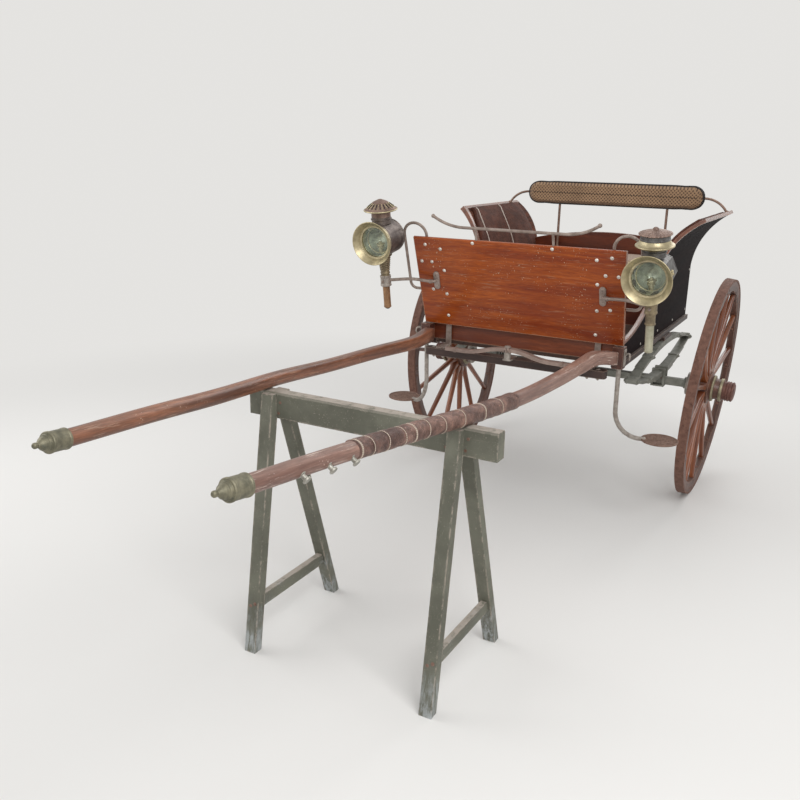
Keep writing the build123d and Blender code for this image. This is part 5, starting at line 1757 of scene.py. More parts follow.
@dataclass
class Upholstery(Assembly):
    """The seat cushion and the back roll.

    Attributes:
        roll_centre: forward and up of the roll's middle in millimetres.
        roll_size: its length, depth and height.
        seat_span: forward start and end of the cushion, and its half width.
        seat_heights: up of the cushion's bottom and top.
    """

    roll_centre: tuple[float, float] = (-480, 903)
    roll_size: tuple[float, float, float] = (996, 62, 130)
    seat_span: tuple[float, float, float] = (-456, -16, 420)
    seat_heights: tuple[float, float] = (503, 588)

    def shell(self, name: str, centre: Point, size: Point, corner: float, tip: float = 24) -> bpy.types.Object:
        """A box with round corners, before it is stuffed.

        Args:
            name: its name.
            centre: forward, left and up of its middle in millimetres.
            size: forward, left and up size in millimetres.
            corner: corner radius in millimetres.
            tip: radius of the ends seen from the front, in millimetres.

        Returns:
            The shell.
        """
        form = Form(name)
        rings = []
        half = size[1] / 2
        for step in range(61):
            share = -math.cos(math.pi * step / 60)
            insets = []
            for radius in (corner, tip):
                end = max(0.0, abs(share) * half - (half - radius)) / radius
                insets.append(radius * (1 - math.sqrt(max(0.0, 1 - end * end))))
            deep, high = size[0] - 2 * insets[0], size[2] - 2 * insets[1]
            section = rounded_rectangle(deep, high, max(min(corner - insets[0], high / 2 - 1), 2), 6)
            rings.append([CART.at(centre[0] + a, centre[1] + share * half, centre[2] + b) for a, b in section])
        form.loft(rings)
        return linked(name, form.mesh())

    def settle(self, shell: bpy.types.Object, limits: tuple[Vector, Vector]) -> None:
        """Presses a stuffed shell inside limits in the cart's frame.

        Args:
            shell: the stuffed piece.
            limits: lowest and highest forward, left and up in metres.
        """
        low, high = limits
        for vertex in shell.data.vertices:
            local = vertex.co - CART.origin
            place = (local.dot(CART.forward), local.y, local.dot(CART.up))
            vertex.co = CART.at(*(max(a, min(b, value)) * 1000 for a, b, value in zip(low, high, place)))

    def finish(self, piece: bpy.types.Object, cloth: Finish, node: str) -> None:
        """Puts a stuffed piece on the cart.

        Args:
            piece: the piece.
            cloth: its finish.
            node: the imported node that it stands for.
        """
        piece.data.materials.append(cloth.material())
        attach(piece, "cart")
        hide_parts(node)

    def roll(self) -> None:
        """Makes the back roll with its piping and its row of stitches."""
        forward, up = self.roll_centre
        length, depth, height = self.roll_size
        piece = self.shell("back_roll", (forward, 0, up), (depth - 8, length - 8, height - 8), 24, 58)
        inflate(piece, 0.006, 4.0, 0.008)
        for vertex in piece.data.vertices:
            rise = (vertex.co - CART.origin).dot(CART.up) - up / 1000
            bow = max(0.0, 1 - (vertex.co.y / 0.46) ** 2)
            vertex.co += CART.up * (rise * 0.16 * min(1.0, 2.2 * bow))
        half = Vector((depth / 2, length / 2, height / 2)) / 1000
        middle = Vector((forward, 0, up)) / 1000
        self.settle(piece, (middle - half, middle + half))
        self.finish(piece, CLOTH, "backrest_roll")
        tree = BVHTree.FromObject(piece, bpy.context.evaluated_depsgraph_get())
        form = Form("back_roll_piping")
        for face in (0.36, -0.36):
            outline = rounded_rectangle(length + 30, height + 30, 72, 14)
            around = [CART.at(forward + face * depth, a, up + b) for a, b in outline]
            line = []
            for here, after in zip(around, around[1:] + around[:1]):
                pieces = max(1, int((after - here).length / 0.012))
                line.extend(here.lerp(after, part / pieces) for part in range(pieces))
            form.loop(drape(tree, line, 0.001), 0.0046)
        seam = up + 2
        for step in range(64):
            left = (step / 63 - 0.5) * (length - 70)
            level = seam + 0.5 * math.sin(step * 1.7)
            probes = [CART.at(forward + depth, left + shift, level) for shift in (-4.2, 4.2)]
            first, last = (tree.find_nearest(probe)[0] + CART.forward * 0.0004 for probe in probes)
            form.tube([first, (first + last) / 2 + CART.forward * 0.0009, last], 0.0019, 0, 6)
        form.make([DARK_PIPING], "cart")

    def seat(self) -> None:
        """Makes the boxed seat cushion with its piping and tufts."""
        start, end, half_width = self.seat_span
        low, high = self.seat_heights
        centre = ((start + end) / 2, 0, (low + high) / 2)
        size = (end - start - 16, 2 * half_width - 16, high - low - 14)
        piece = self.shell("seat_pad", centre, size, 24)
        inflate(piece, 0.009, 4.0, 0.014)
        lowest, highest = (start, -half_width, low + 0.4), (end, half_width, high + 14)
        self.settle(piece, (Vector(lowest) / 1000, Vector(highest) / 1000))
        tufts = [(u, y) for u in (-345, -235, -125) for y in (-285, -95, 95, 285)]
        for vertex in piece.data.vertices:
            local = vertex.co - CART.origin
            u, y, v = local.dot(CART.forward) * 1000, local.y * 1000, local.dot(CART.up) * 1000
            if v > (low + high) / 2:
                sink = sum(15 * math.exp(-math.hypot(u - a, y - b) / 17) for a, b in tufts)
                vertex.co -= CART.up * (min(sink, 16) / 1000)
        self.finish(piece, CLOTH, "seat_cushion")
        tree = BVHTree.FromObject(piece, bpy.context.evaluated_depsgraph_get())
        form = Form("seat_piping")
        for level in (low + 14, high - 8):
            section = rounded_rectangle(end - start + 40, 2 * half_width + 40, 45, 12)
            ring = []
            for (a, b), (c, d) in zip(section, section[1:] + section[:1]):
                pieces = max(1, int(math.hypot(c - a, d - b) / 18))
                ring.extend((a + (c - a) * i / pieces, b + (d - b) * i / pieces) for i in range(pieces))
            form.loop(drape(tree, [CART.at(centre[0] + a, b, level) for a, b in ring], 0.0008), 0.0034)
        for u, y in tufts:
            found = tree.ray_cast(CART.at(u, y, high + 100), -CART.up)[0]
            if found:
                form.bolt(found - CART.up * 0.0005, CART.up, 0.0095, 0.0045)
        form.make([DARK_PIPING], "cart")

    def build(self) -> None:
        """Makes the cushion and the roll and dresses the roll's irons."""
        self.seat()
        self.roll()
        self.dress(SEAT_IRON, "backrest_uprights", "backrest_arms")
        form = Form("backrest_fixings")
        for hand in (LEFT, RIGHT):
            for height in (875, 925):
                form.bolt(CART.at(-505, hand * 306, height), -CART.forward, 0.006, 0.003)
        form.make([PALE_IRON], "cart")


@dataclass
class Underworks(Assembly):
    """Springs, axle, spring blocks and clips.

    Attributes:
        line: left of each spring's middle in millimetres.
        eyes: forward of its eyes, on either side of the axle.
        eye_up: height of the eyes.
    """

    line: float = 458
    eyes: float = 585
    eye_up: float = 130

    def build(self) -> None:
        """Dresses the nodes and adds bolts, clips and eyes."""
        self.dress(SPRING_STEEL, "springs_upper", "springs_lower", "axle", "axle_clips")
        # The spring blocks under the body are darkened partly as painted shade.
        self.dress(DARK_TIMBER_AND_SHADE, "spring_blocks")
        form = Form("spring_fixings")
        for hand in (LEFT, RIGHT):
            left = hand * self.line
            for forward in (-self.eyes, self.eyes):
                for face in (-1, 1):
                    form.nut(CART.at(forward, left + face * 22.5, self.eye_up), (0, face, 0), 0.021, 0.009)
                form.loop([CART.at(forward + a, left, self.eye_up + b) for a, b in circle(17.6, 24)], 0.0016, 0, 6)
            for forward in (-300, 300):
                for height in (187, 73):
                    form.block(CART.at(forward, left, height), (0.022, 0.052, 0.022), 0.002)
                    form.nut(CART.at(forward, left + hand * 26, height), (0, hand, 0), 0.012, 0.006)
        form.make([SPRING_STEEL], "cart")


@dataclass(frozen=True)
class WheelFrame:
    """A wheel's own directions, from its packed joint.

    Attributes:
        hub: the wheel's middle.
        axis: outward along the axle.
    """

    hub: Vector
    axis: Vector

    @classmethod
    def of(cls, side: str) -> WheelFrame:
        """Reads one wheel's frame.

        Args:
            side: left or right.

        Returns:
            The frame.
        """
        joint = next(joint for joint in frame["joints"] if joint["name"] == f"wheel_{side}_spin")
        hub, axis = Vector(joint["pos_m"]), Vector(joint["axis"]).normalized()
        return cls(hub, axis if axis.y * hub.y > 0 else -axis)

    @property
    def top(self) -> Vector:
        """The direction in the wheel's plane that points up."""
        return (Vector((0, 0, 1)) - self.axis * self.axis.z).normalized()

    def at(self, out: float, radius: float, angle: float) -> Vector:
        """A place given in millimetres out along the axle and from it, and an angle from the top."""
        side = self.axis.cross(self.top)
        spoke = self.top * math.cos(angle) + side * math.sin(angle)
        return self.hub + (self.axis * out + spoke * radius) / 1000

    def ray(self, angle: float) -> Vector:
        """The unit direction from the axle at an angle."""
        return (self.at(0, 1000, angle) - self.at(0, 0, angle)).normalized()


@dataclass
class Wheel(Assembly):
    """One dished wheel: seven felloes, fourteen spokes, the nave's bands and the hub cap.

    Attributes:
        side: left or right.
        spokes: how many spokes.
        felloe: inner and outer radius of the felloes in millimetres.
        felloe_width: the felloes' width along the axle.
        dish: how far the spokes' feet sit outside the felloes' plane; negative is inward.
        cap: distance outward and radius of the hub cap's profile.
    """

    side: str
    spokes: int = 14
    felloe: tuple[float, float] = (492, 540)
    felloe_width: float = 38
    dish: float = 26.5
    cap: tuple[tuple[float, float], ...] = (
        (0, 46), (13, 46), (14.5, 49), (17, 50), (20, 50), (21, 47.5), (25, 47), (26, 49.5), (29, 50.5), (32, 49.5),
        (33, 47), (40, 46.5), (41, 49), (44, 50), (47, 48.5), (50, 43), (53, 37), (54, 30), (53, 26), (53, 15), (55, 8),
        (55, 0),
    )

    @property
    def body(self) -> str:
        """The wheel's body."""
        return f"wheel_{self.side}"

    @property
    def place(self) -> WheelFrame:
        """The wheel's own frame."""
        return WheelFrame.of(self.side)

    def felloes(self) -> None:
        """Makes the felloes with their joints and dowels."""
        place = self.place
        form = Form(f"felloe_ring_{self.side}")
        count = self.spokes // 2
        inner, outer = self.felloe
        half = self.felloe_width / 2
        gap = 0.0011
        joints = [angle + math.pi / self.spokes for angle in angles(count)]
        for number, start in enumerate(joints):
            rings, grain = [], []
            for step in range(29):
                share = step / 28
                angle = start + gap + (2 * math.pi / count - 2 * gap) * share
                turns = (angle - spoke_angle + math.pi for spoke_angle in angles(self.spokes))
                spoke = min(abs(turn % (2 * math.pi) - math.pi) for turn in turns)
                ease = 5.5 * (1 - math.exp(-((spoke * 500 / 34) ** 4)))
                edge = 1.2 if 0 < step < 28 else 2.6
                section = (
                    (outer, -half), (outer, half), (inner + ease + 3.5, half), (inner + 0.8, half - ease - edge),
                    (inner, 0), (inner + 0.8, ease + edge - half), (inner + ease + 3.5, -half),
                )
                rings.append([place.at(out, radius, angle) for radius, out in section])
                grain.append([(angle * 0.516 + number, out / 1000, radius / 1000) for radius, out in section])
            form.loft(rings, grain)
        for angle in joints:
            for face in (-1, 1):
                for shift in (0.05, -0.05):
                    form.bolt(place.at(face * half, 520, angle + shift), place.axis * face, 0.005, 0.002, 1)
        form.make([FELLOE_WOOD, TYRE_IRON], self.body, [f"felloes_{self.side}"])

    def spoke_set(self) -> None:
        """Makes the shaped spokes."""
        place = self.place
        form = Form(f"spoke_set_{self.side}")
        foot, middle_radius = 74.0, sum(self.felloe) / 2
        length = self.felloe[0] + 4 - foot
        for number, angle in enumerate(angles(self.spokes)):
            side = place.ray(angle + math.pi / 2)
            rings, grain = [], []
            for step in range(30):
                share = step / 29
                radius = foot + length * share
                shoulder = 1 - math.exp(-((share / 0.11) ** 3))
                tongue = math.exp(-(((1 - share) / 0.05) ** 2))
                wide = 30 - 4.5 * shoulder - 5.5 * share - 1.5 * tongue
                deep = 40 - 8 * shoulder - 7 * share
                round_face = 3 + 9 * shoulder
                section = rounded_rectangle(wide, deep, min(round_face, wide / 2.05), 5)
                lean = -self.dish * (1 - radius / middle_radius)
                middle = place.at(lean, radius, angle)
                rings.append([middle + (side * a + place.axis * b) / 1000 for a, b in section])
                grain.append([(radius / 1000 + number * 3.1, a / 1000, b / 1000) for a, b in section])
            form.loft(rings, grain)
        form.make([SPOKE_VARNISH], self.body, [f"spokes_{self.side}"])

    def hub(self) -> None:
        """Makes the nave's bands, its bolts and the grooved cap."""
        place = self.place
        form = Form(f"hub_rings_{self.side}")
        shift = -self.dish
        hub = place.hub + place.axis * shift / 1000
        bands = (
            (((80, 53), (80, 57.5), (83, 58.5), (90, 58.5), (93, 57), (94, 53)), 0),
            (((43, 56), (44, 66.2), (47, 67.2), (53, 64), (55, 56)), 1),
            (((-53, 56), (-51, 61), (-46, 65.5), (-42, 66.5), (-40, 60)), 1),
            (((-81, 40), (-81, 57), (-78, 58.5), (-68, 58.5), (-66, 55), (-66, 40)), 2),
        )
        for profile, look in bands:
            form.turned(hub, place.axis, metres(profile), look, 56)
        form.turned(hub + place.axis * 0.096, place.axis, metres(self.cap), 3, 56)
        for angle in angles(self.spokes, 0.5)[1::2]:
            form.bolt(place.at(shift + 32, 74, angle), place.axis, 0.0045, 0.003, 1)
        form.make(
            [HUB_BRASS, HUB_BRASS, PALE_IRON, HUB_CAP], self.body, [f"hub_cap_{self.side}"], sharp=30
        )

    def tyre_bolts(self) -> None:
        """Makes the nuts of the tyre bolts inside the rim."""
        place = self.place
        form = Form(f"tyre_bolts_{self.side}")
        for angle in angles(self.spokes, 0.5):
            form.nut(place.at(0, self.felloe[0] + 4.5, angle + 0.03), -place.ray(angle + 0.03), 0.013, 0.006)
        form.make([TYRE_IRON], self.body)

    def build(self) -> None:
        """Makes the wheel."""
        self.felloes()
        self.spoke_set()
        self.hub()
        self.tyre_bolts()
        self.dress(TYRE_IRON, f"tyre_{self.side}")
        self.dress(NAVE_VARNISH, f"nave_{self.side}")


@dataclass(frozen=True)
class LampFrame:
    """A lamp's own directions.

    Attributes:
        middle: the lens's middle behind the glass.
        lean: how far the lamp leans forward on the gig, in radians.
    """

    middle: Vector
    lean: float

    @property
    def ahead(self) -> Vector:
        """The way that the lens looks."""
        return CART.forward * math.cos(self.lean) - CART.up * math.sin(self.lean)

    @property
    def up(self) -> Vector:
        """The lamp's upright axis."""
        return CART.forward * math.sin(self.lean) + CART.up * math.cos(self.lean)

    def at(self, ahead: float, left: float, up: float) -> Vector:
        """A place given in millimetres."""
        return self.middle + (self.ahead * ahead + Vector((0, left, 0)) + self.up * up) / 1000

    @property
    def turn(self) -> Matrix:
        """The rotation from the lamp's own directions."""
        return Matrix((self.ahead, ACROSS, self.up)).transposed()

    def ray(self, angle: float) -> Vector:
        """The level direction at an angle from the lens."""
        return self.ahead * math.cos(angle) + ACROSS * math.sin(angle)

    def spin(self, form: Form, profile: Outline, look: int = 0, sides: int = 56, ahead: bool = False) -> None:
        """Adds a body turned about the upright axis, or about the lens's, from a profile in millimetres."""
        form.turned(self.middle, self.ahead if ahead else self.up, metres(profile), look, sides)


@dataclass
class Lamp(Assembly):
    """One carriage lamp on its bracket.

    Attributes:
        side: left or right.
        hand: 1 for left, -1 for right.
        forward: the lens's middle ahead of the axle, in millimetres.
        height: the lens's middle over the axle.
        fall: how far the sleeve sits under the lens's middle.
        spread: how far the lamp hangs from the gig's middle.
        lean: how far it leans forward, in degrees.
        plate_left: how far the bracket's plate sits from the middle of the dash.
        plate_rise: how far up the dash it sits.
    """

    side: str
    hand: int
    forward: float
    height: float
    fall: float
    spread: float = 605
    lean: float = 9.5
    plate_left: float = 385
    plate_rise: float = 224

    @property
    def place(self) -> LampFrame:
        """The lamp's own frame."""
        return LampFrame(CART.at(self.forward, self.hand * self.spread, self.height), math.radians(self.lean))

    def housing(self) -> None:
        """Makes the drum, its neck and its foot."""
        place = self.place
        left = self.side == "left"
        form = Form(f"lamp_housing_{self.side}")
        drum = [(-70, 0), (-70, 60), (-72, 66), (-70, 74), (-66, 77.6), (-62, 77.6), (-60, 75.5), (-56, 75.5),
                (-54, 78), (48, 78), (50, 80), (54, 81), (58, 80), (60, 78), (62, 78), (62, 68), (56, 66), (-40, 60),
                (-40, 0)]
        place.spin(form, drum, 0, 8 if left else 56, ahead=True)
        chimney = [(70, 0), (70, 44), (86, 43), (88, 47), (92, 47), (94, 43), (104, 43), (104, 0)]
        place.spin(form, chimney, 0, 40)
        foot = [(-60, 0), (-60, 36), (-72, 38), (-78, 36), (-82, 30), (-84, 27.5)]
        for index in range(7):
            top = -86 - index * 9
            radius = 27 - index * 1.1
            foot += [(top, radius), (top - 2, radius + 2.4), (top - 5, radius + 2.4), (top - 7, radius - 0.4)]
        foot += [(-152, 20), (-156, 22), (-160, 22), (-163, 19.5), (-200, 19.5), (-202, 21.5), (-206, 21.5), (-206, 0)]
        place.spin(form, foot, 1, 40)
        if left:
            self.catch(form)
        else:
            form.block(place.at(-78, 0, 6), (0.012, 0.034, 0.05), 0.002, 2, place.turn)
        finishes = [LAMP_STEEL, LAMP_DARK_BRASS, LAMP_BRASS] if left else [LAMP_DRUM, LAMP_DARK_BRASS, LAMP_STEEL]
        form.make(finishes, "cart", [f"lamp_body_{self.side}"], sharp=28)

    def catch(self, form: Form) -> None:
        """Adds the eight-pointed star catch on the housing's outer side.

        Args:
            form: the housing.
        """
        place = self.place
        base = place.at(12, self.hand * 74, 10)
        outward = Vector((0, self.hand, 0))
        radii = (0.0165, 0.0125, 0.0085, 0.0125) * 8
        star = [(radius * math.cos(a), radius * math.sin(a)) for a, radius in zip(angles(32), radii)]
        rings = [[base + outward * depth + place.ahead * a * scale + place.up * b * scale for a, b in star]
                 for depth, scale in ((-0.004, 1), (0.0, 1), (0.003, 0.86), (0.004, 0.4))]
        form.loft(rings, look=2)
        form.bolt(base + outward * 0.0035, outward, 0.0055, 0.005, 2)

    def cap(self) -> None:
        """Makes the chimney's cap."""
        place = self.place
        form = Form(f"lamp_cap_{self.side}")
        if self.side == "left":
            tray = [(100, 0), (100, 50), (104, 60), (110, 69), *rolled(113, 71.5, 3.4), (117, 69), (126, 61),
                    (135, 56.5), (137, 50), (137, 0)]
            place.spin(form, tray, 1, 64)
            ring = [(133, 0), (133, 56), (136, 57.5), (139, 57.5), (141, 55.5), (152, 55.5), (154, 57.5), (157, 57),
                    (158, 54), (158, 0)]
            place.spin(form, ring, 2)
            self.petals(form)
            knob = [(172, 0), (172, 11), (175, 12.5), (178, 11.5), (180, 9), (182, 8), (183, 5), (184, 0)]
            place.spin(form, knob, 0, 28)
            form.make([LAMP_TIN, LAMP_BRASS, LAMP_STEEL], "cart", sharp=35)
            return
        cone = [(100, 0), (100, 43), (122, 43), (124, 50), (127, 66), *rolled(131, 71, 3.0), (135, 69), (139, 64),
                (161, 35), (163, 36), (165, 33), (170, 22), (174, 12), (176, 8), (177, 0)]
        place.spin(form, cone, 0, 64)
        form.loop([place.at(a, b, 131) for a, b in circle(73, 48)], 0.0032, 2)
        # The dark slots between the ribs are painted shade for the cap's open vents.
        rib, slot = (((139.5, 64), (160.5, 36)), 0.0013, 2), (((142, 60.5), (158, 39.4)), 0.0021, 1)
        for number, angle in enumerate(angles(36)):
            ends, thick, look = slot if number % 2 else rib
            ray = place.ray(angle)
            line = [place.at(0, 0, height + 0.4) + ray * (radius / 1000) for height, radius in ends]
            form.tube(line, thick, look, 8)
        form.make([LAMP_TIN, VENT_SHADE, LAMP_BRASS], "cart", sharp=35)

    def petals(self, form: Form) -> None:
        """Adds the left lamp's petalled dome.

        Args:
            form: the cap.
        """
        place = self.place
        profile = ((155, 60), (158, 64), (161, 62), (164, 54), (167, 44), (170, 32), (173, 20), (175, 10))
        count, round_cap = 24, angles(144)
        rings, grain = [], []
        for height, radius in profile:
            ring = []
            for angle in round_cap:
                wave = abs(math.sin(angle * count / 2))
                swell = radius * (0.93 + 0.075 * math.sqrt(wave)) if radius > 12 else radius
                ring.append(place.at(0, 0, height) + place.ray(angle) * (swell / 1000))
            rings.append(ring)
            grain.append([(height / 1000, angle, 0.0) for angle in round_cap])
        form.loft(rings, grain)

    def face(self) -> None:
        """Makes the bezel, reflector, burner and glass."""
        place = self.place
        form = Form(f"lamp_face_{self.side}")
        bezel = [(60, 76), (62, 80), (66, 82.5), (70, 82.5), (74, 84.5), (98, 95.5), *rolled(100, 95.5, 2.2),
                 (99, 92), (84, 80.5), (78, 76), (74, 74), (72, 70), (72, 66.5), (62, 66.5), (60, 76)]
        place.spin(form, bezel, 0, 72, ahead=True)
        dish = [(-30, 0), (-30, 12), (-26, 24), (-14, 40), (6, 52), (30, 60), (58, 65), (61, 66), (61, 64), (31, 58.5),
                (8, 50.5), (-12, 38.5), (-24, 23), (-27, 12), (-27, 0)]
        place.spin(form, dish, 1, ahead=True)
        form.loop([place.at(33, a, b) for a, b in circle(57.5, 72)], 0.0022)
        stem = [(-58, 0), (-58, 10), (-38, 10), (-36, 16), (-30, 17), (-28, 13), (-16, 12), (-14, 8), (-9, 7), (-8, 0)]
        form.turned(place.at(20, 0, 0), place.up, metres(stem), 2, 28)
        form.loop([place.at(20 + a, b, -20) for a, b in circle(17, 32)], 0.0026, 2)
        for angle in angles(3, 0.25):
            spot = place.at(72, 0, 0) + (ACROSS * math.cos(angle) + place.up * math.sin(angle)) * 0.071
            form.bolt(spot, place.ahead, 0.003, 0.002)
        left = self.side == "left"
        form.make([LAMP_BRASS, REFLECTOR, BURNER], "cart", ["lamp_bezels"] if left else [], sharp=32)
        pane = Form(f"lamp_pane_{self.side}")
        lens = [(63, 0), (63, 66.6), (65.6, 66.6), (69, 58), (73, 40), (75.4, 20), (76, 0)]
        place.spin(pane, lens, ahead=True)
        pane.make([GLASS], "cart", ["lamp_lenses"] if left else [])

    def bracket(self, dash: Dash) -> None:
        """Makes the slotted plate, the arm, the sleeve and the candle tube.

        Args:
            dash: the dash board.
        """
        place = self.place
        left = self.side == "left"
        form = Form(f"lamp_bracket_{self.side}")
        plate_left, plate_rise = self.hand * self.plate_left, self.plate_rise
        outline = [(a, b + (29 if b > 0 else -29)) for a, b in circle(14, 36)]
        rings = [[dash.at(plate_left + a * scale, plate_rise + b * scale, out) for a, b in outline]
                 for out, scale in ((0, 1), (6.5, 1), (8, 0.95))]
        form.loft(rings)
        for rise in (-31, 31):
            form.bolt(dash.at(plate_left, plate_rise + rise, 8), dash.out, 0.0056, 0.003)
        sleeve = place.at(0, 0, -self.fall)
        root = dash.at(plate_left, plate_rise, 4)
        bow = root.lerp(sleeve, 0.5) + Vector((0, 0, 0.006))
        knee = root.lerp(sleeve, 0.08) + dash.out * 0.012
        form.tube(smooth_path([root, knee, bow, sleeve], 10), 0.0072, 0, 14)
        form.turned(knee, sleeve - knee, [(-0.004, 0.009), (0.006, 0.0105), (0.012, 0.009)], 0, 16)
        ring = [(-25, 17), (-25, 24), (-23, 25.6), (-17, 25.6), (-15, 24), (15, 24), (17, 25.6), (23, 25.6), (25, 24),
                (25, 17)]
        form.turned(sleeve, place.up, metres(ring), 1, 36)
        form.bolt(sleeve + place.ahead * 0.027, place.ahead, 0.005, 0.011)
        tube = [(-326, 0), (-326, 12), (-324, 15), (-322, 17.4), (-318, 17.4), (-316, 16.4), (-204, 16.4), (-204, 0)]
        place.spin(form, tube, 2, 32)
        place.spin(form, [(-331, 0), (-331, 7), (-328, 11), (-325, 12), (-325, 0)], 3, 24)
        finishes = [RAIL_IRON, LAMP_DARK_BRASS if left else PALE_IRON, LAMP_TUBE if left else LAMP_COPPER, LAMP_STEEL]
        form.make(finishes, "cart", ["lamp_brackets", "candle_tubes"] if left else [], sharp=30)

    def build(self) -> None:
        """Makes the lamp."""
        self.housing()
        self.cap()
        self.face()
        self.bracket(Dash())


@dataclass
class Steps(Assembly):
    """The two round steps on their curved irons.

    Attributes:
        plate: forward, left and up of each plate in millimetres.
        bend: height where the iron starts to curve outwards.
        rod: the iron's radius.
    """

    plate: tuple[float, float, float] = (742, 640, -72)
    bend: float = 66
    rod: float = 10

    def build(self) -> None:
        """Makes the irons and the plates."""
        form = Form("step_irons")
        forward, left, up = self.plate
        heel_ahead, heel_left, heel_up = forward + 14, left - 60, up - 4
        root, bend = HALF_WIDTH + 6, self.bend
        dish = metres([(-10, 0), (-10, 40), (-9, 74), (-7, 79), (-3, 80), (0, 79.5), (1, 77.5), (0.5, 74), (-2.5, 71),
                       (-3, 60), (-3, 0)])
        for hand in (LEFT, RIGHT):
            path = [CART.at(u, hand * root, v) for u, v in ((856, 255), (853, 190), (850, 120), (847, bend))]
            for step in range(1, 15):
                angle = math.pi / 2 * step / 14
                drop, reach = math.sin(angle), 1 - math.cos(angle)
                out = root + (heel_left - root) * reach
                path.append(CART.at(848 + (heel_ahead - 848) * reach, hand * out, bend + (heel_up - bend) * drop))
            form.tube(path, self.rod / 1000, 0, 16, up=(1, 0, 0))
            form.turned(CART.at(forward, hand * left, up), CART.up, dish, 1, 56)
            for radius, count in ((15, 6), (32, 12), (49, 18), (63, 24)):
                for a, b in circle(radius, count):
                    knob = [(-0.001, 0.0042), (0.0006, 0.0042), (0.0022, 0.0022), (0.0026, 0)]
                    form.turned(CART.at(forward + a, hand * left + b, up - 3), CART.up, knob, 1, 10)
            form.nut(CART.at(heel_ahead, hand * heel_left, up - 3), CART.up, 0.016, 0.004, 1)
            collar = [(-0.002, 0.017), (0.004, 0.017), (0.007, 0.0125), (0.007, 0)]
            form.turned(CART.at(855, hand * root, 251), -CART.up, collar, 0, 20)
        form.make([PALE_IRON, STEP_RUST], "cart", ["steps"])


@dataclass
class Trestle(Assembly):
    """The painted wooden trestle that carries the shafts."""

    def build(self) -> None:
        """Dresses the timber and adds the pegs, tenons and nails."""
        self.dress(TRESTLE_ACROSS, "trestle_beam")
        self.dress(TRESTLE_UP, "trestle_front_legs", "trestle_rear_legs")
        self.dress(TRESTLE_FORE, "trestle_stretchers")
        low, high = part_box("trestle_beam")
        form = Form("trestle_fixings")
        for left in (-0.333, 0.352):
            for fore, face in ((1, high.x), (-1, low.x)):
                for rise in (0.022, 0.06):
                    spot = Vector((face + fore * 0.0005, left - 0.008 + rise * 0.2, low.z + rise))
                    form.bolt(spot + Vector((fore * 0.022, 0, 0)), (fore, 0, 0), 0.0058, 0.002)
                    for shift in (-0.032, 0.033):
                        form.bolt(spot + Vector((0, shift, -0.004)), (fore, 0, 0), 0.004, 0.0012)
            for fore in (1, -1):
                foot, head = 0.245 * fore - 0.08, 0.029 * fore
                share = 0.171 / (high.z - 0.004)
                middle = (low.x + high.x) / 2 + foot + (head - foot) * share
                for shift in (-0.009, 0.009):
                    form.bolt((middle + fore * 0.018, left + shift, 0.171 + shift * 0.6), (fore, 0, 0.15), 0.005, 0.002)
        form.make([STEP_RUST], "cart")


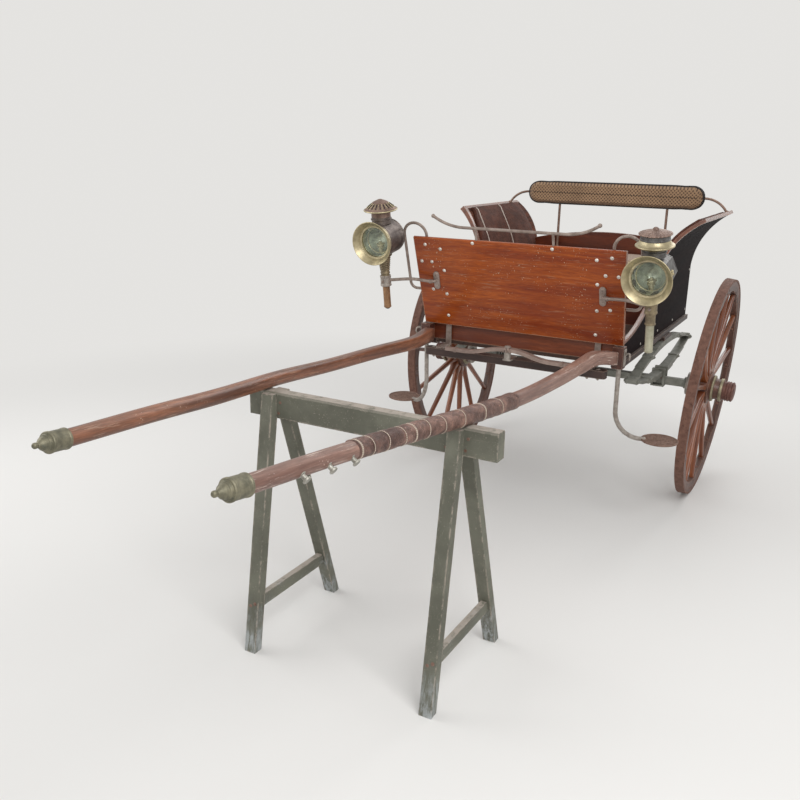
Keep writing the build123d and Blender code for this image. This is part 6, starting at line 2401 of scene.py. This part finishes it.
@dataclass
class Studio:
    """The plain pale floor, the soft light and the camera.

    Attributes:
        eye: the camera's place in metres.
        yaw: its heading in degrees.
        pitch: its tilt in degrees.
        roll: its roll in degrees.
        lens: focal length in millimetres on a 36 mm sensor.
        daylight: strength of the even light from all round.
    """

    eye: Point = (3.0722, 1.352, 1.681)
    yaw: float = 209.168
    pitch: float = -16.587
    roll: float = 0.999
    lens: float = 37.995
    daylight: float = 0.55

    def build(self) -> None:
        """Sets up the floor, lights, world and camera."""
        self.floor()
        self.light("key", (2.6, 2.6, 3.6), (0.2, 0.0, 0.5), 2.4, 115)
        self.light("fill", (1.2, -3.6, 2.8), (-0.3, 0.0, 0.6), 3.0, 60)
        self.light("rear", (-3.6, 0.6, 3.0), (-0.8, 0.0, 0.7), 2.6, 50)
        self.world()
        self.camera()

    def floor(self) -> None:
        """Adds the floor."""
        mesh = bpy.data.meshes.new("studio_floor")
        size = 30.0
        mesh.from_pydata([(-size, -size, 0), (size, -size, 0), (size, size, 0), (-size, size, 0)], [], [(0, 1, 2, 3)])
        mesh.materials.append(Floor("studio_floor").material())
        floor = linked("studio_floor", mesh)

    def light(self, name: str, place: Point, target: Point, size: float, watts: float) -> None:
        """Adds one soft square lamp.

        Args:
            name: its name.
            place: its place in metres.
            target: the point that it faces.
            size: its side in metres.
            watts: its power.
        """
        data = bpy.data.lights.new(name, "AREA")
        data.size = size
        data.energy = watts
        lamp = linked(name, data)
        lamp.location = place
        lamp.rotation_euler = (Vector(target) - Vector(place)).to_track_quat("-Z", "Y").to_euler()

    def world(self) -> None:
        """Sets a plain pale world."""
        world = bpy.data.worlds.new("studio_world")
        bpy.context.scene.world = world
        graph = Graph(world)
        light = graph.node("Background", {}, {"Color": (1.0, 1.0, 1.0), "Strength": self.daylight})
        sky = graph.node("Background", {}, {"Color": BACKGROUND, "Strength": 1.0})
        graph.end(graph.blended(graph.seen(), light, sky), "OutputWorld")

    def camera(self) -> None:
        """Adds the camera at the photograph's viewing angle."""
        yaw, pitch, roll = (math.radians(angle) for angle in (self.yaw, self.pitch, self.roll))
        ahead = Vector((math.cos(yaw) * math.cos(pitch), math.sin(yaw) * math.cos(pitch), math.sin(pitch)))
        level = ahead.cross(Vector((0, 0, 1))).normalized()
        above = level.cross(ahead)
        right = level * math.cos(roll) + above * math.sin(roll)
        top = above * math.cos(roll) - level * math.sin(roll)
        data = bpy.data.cameras.new("camera")
        data.sensor_width = 36.0
        data.lens = self.lens
        camera = linked("camera", data)
        turned = Matrix((right, top, -ahead)).transposed().to_4x4()
        camera.matrix_world = Matrix.Translation(Vector(self.eye)) @ turned
        bpy.context.scene.camera = camera
        bpy.context.scene.view_settings.view_transform = "Standard"


def main() -> None:
    """Builds the gig and its studio."""
    logging.basicConfig(level=logging.INFO, format="%(name)s: %(message)s")
    assemblies = (
        Shafts(), Dash(), Draught(), Body(), WingLining(), Upholstery(), Underworks(), Wheel("left"), Wheel("right"),
        Lamp("left", LEFT, 1030, 683.9, 136), Lamp("right", RIGHT, 1036.7, 742.6, 195), Steps(), Trestle(),
    )
    for assembly in assemblies:
        assembly.build()
        log.info("built %s", type(assembly).__name__)
    Studio().build()


if __name__ == "__main__":
    main()
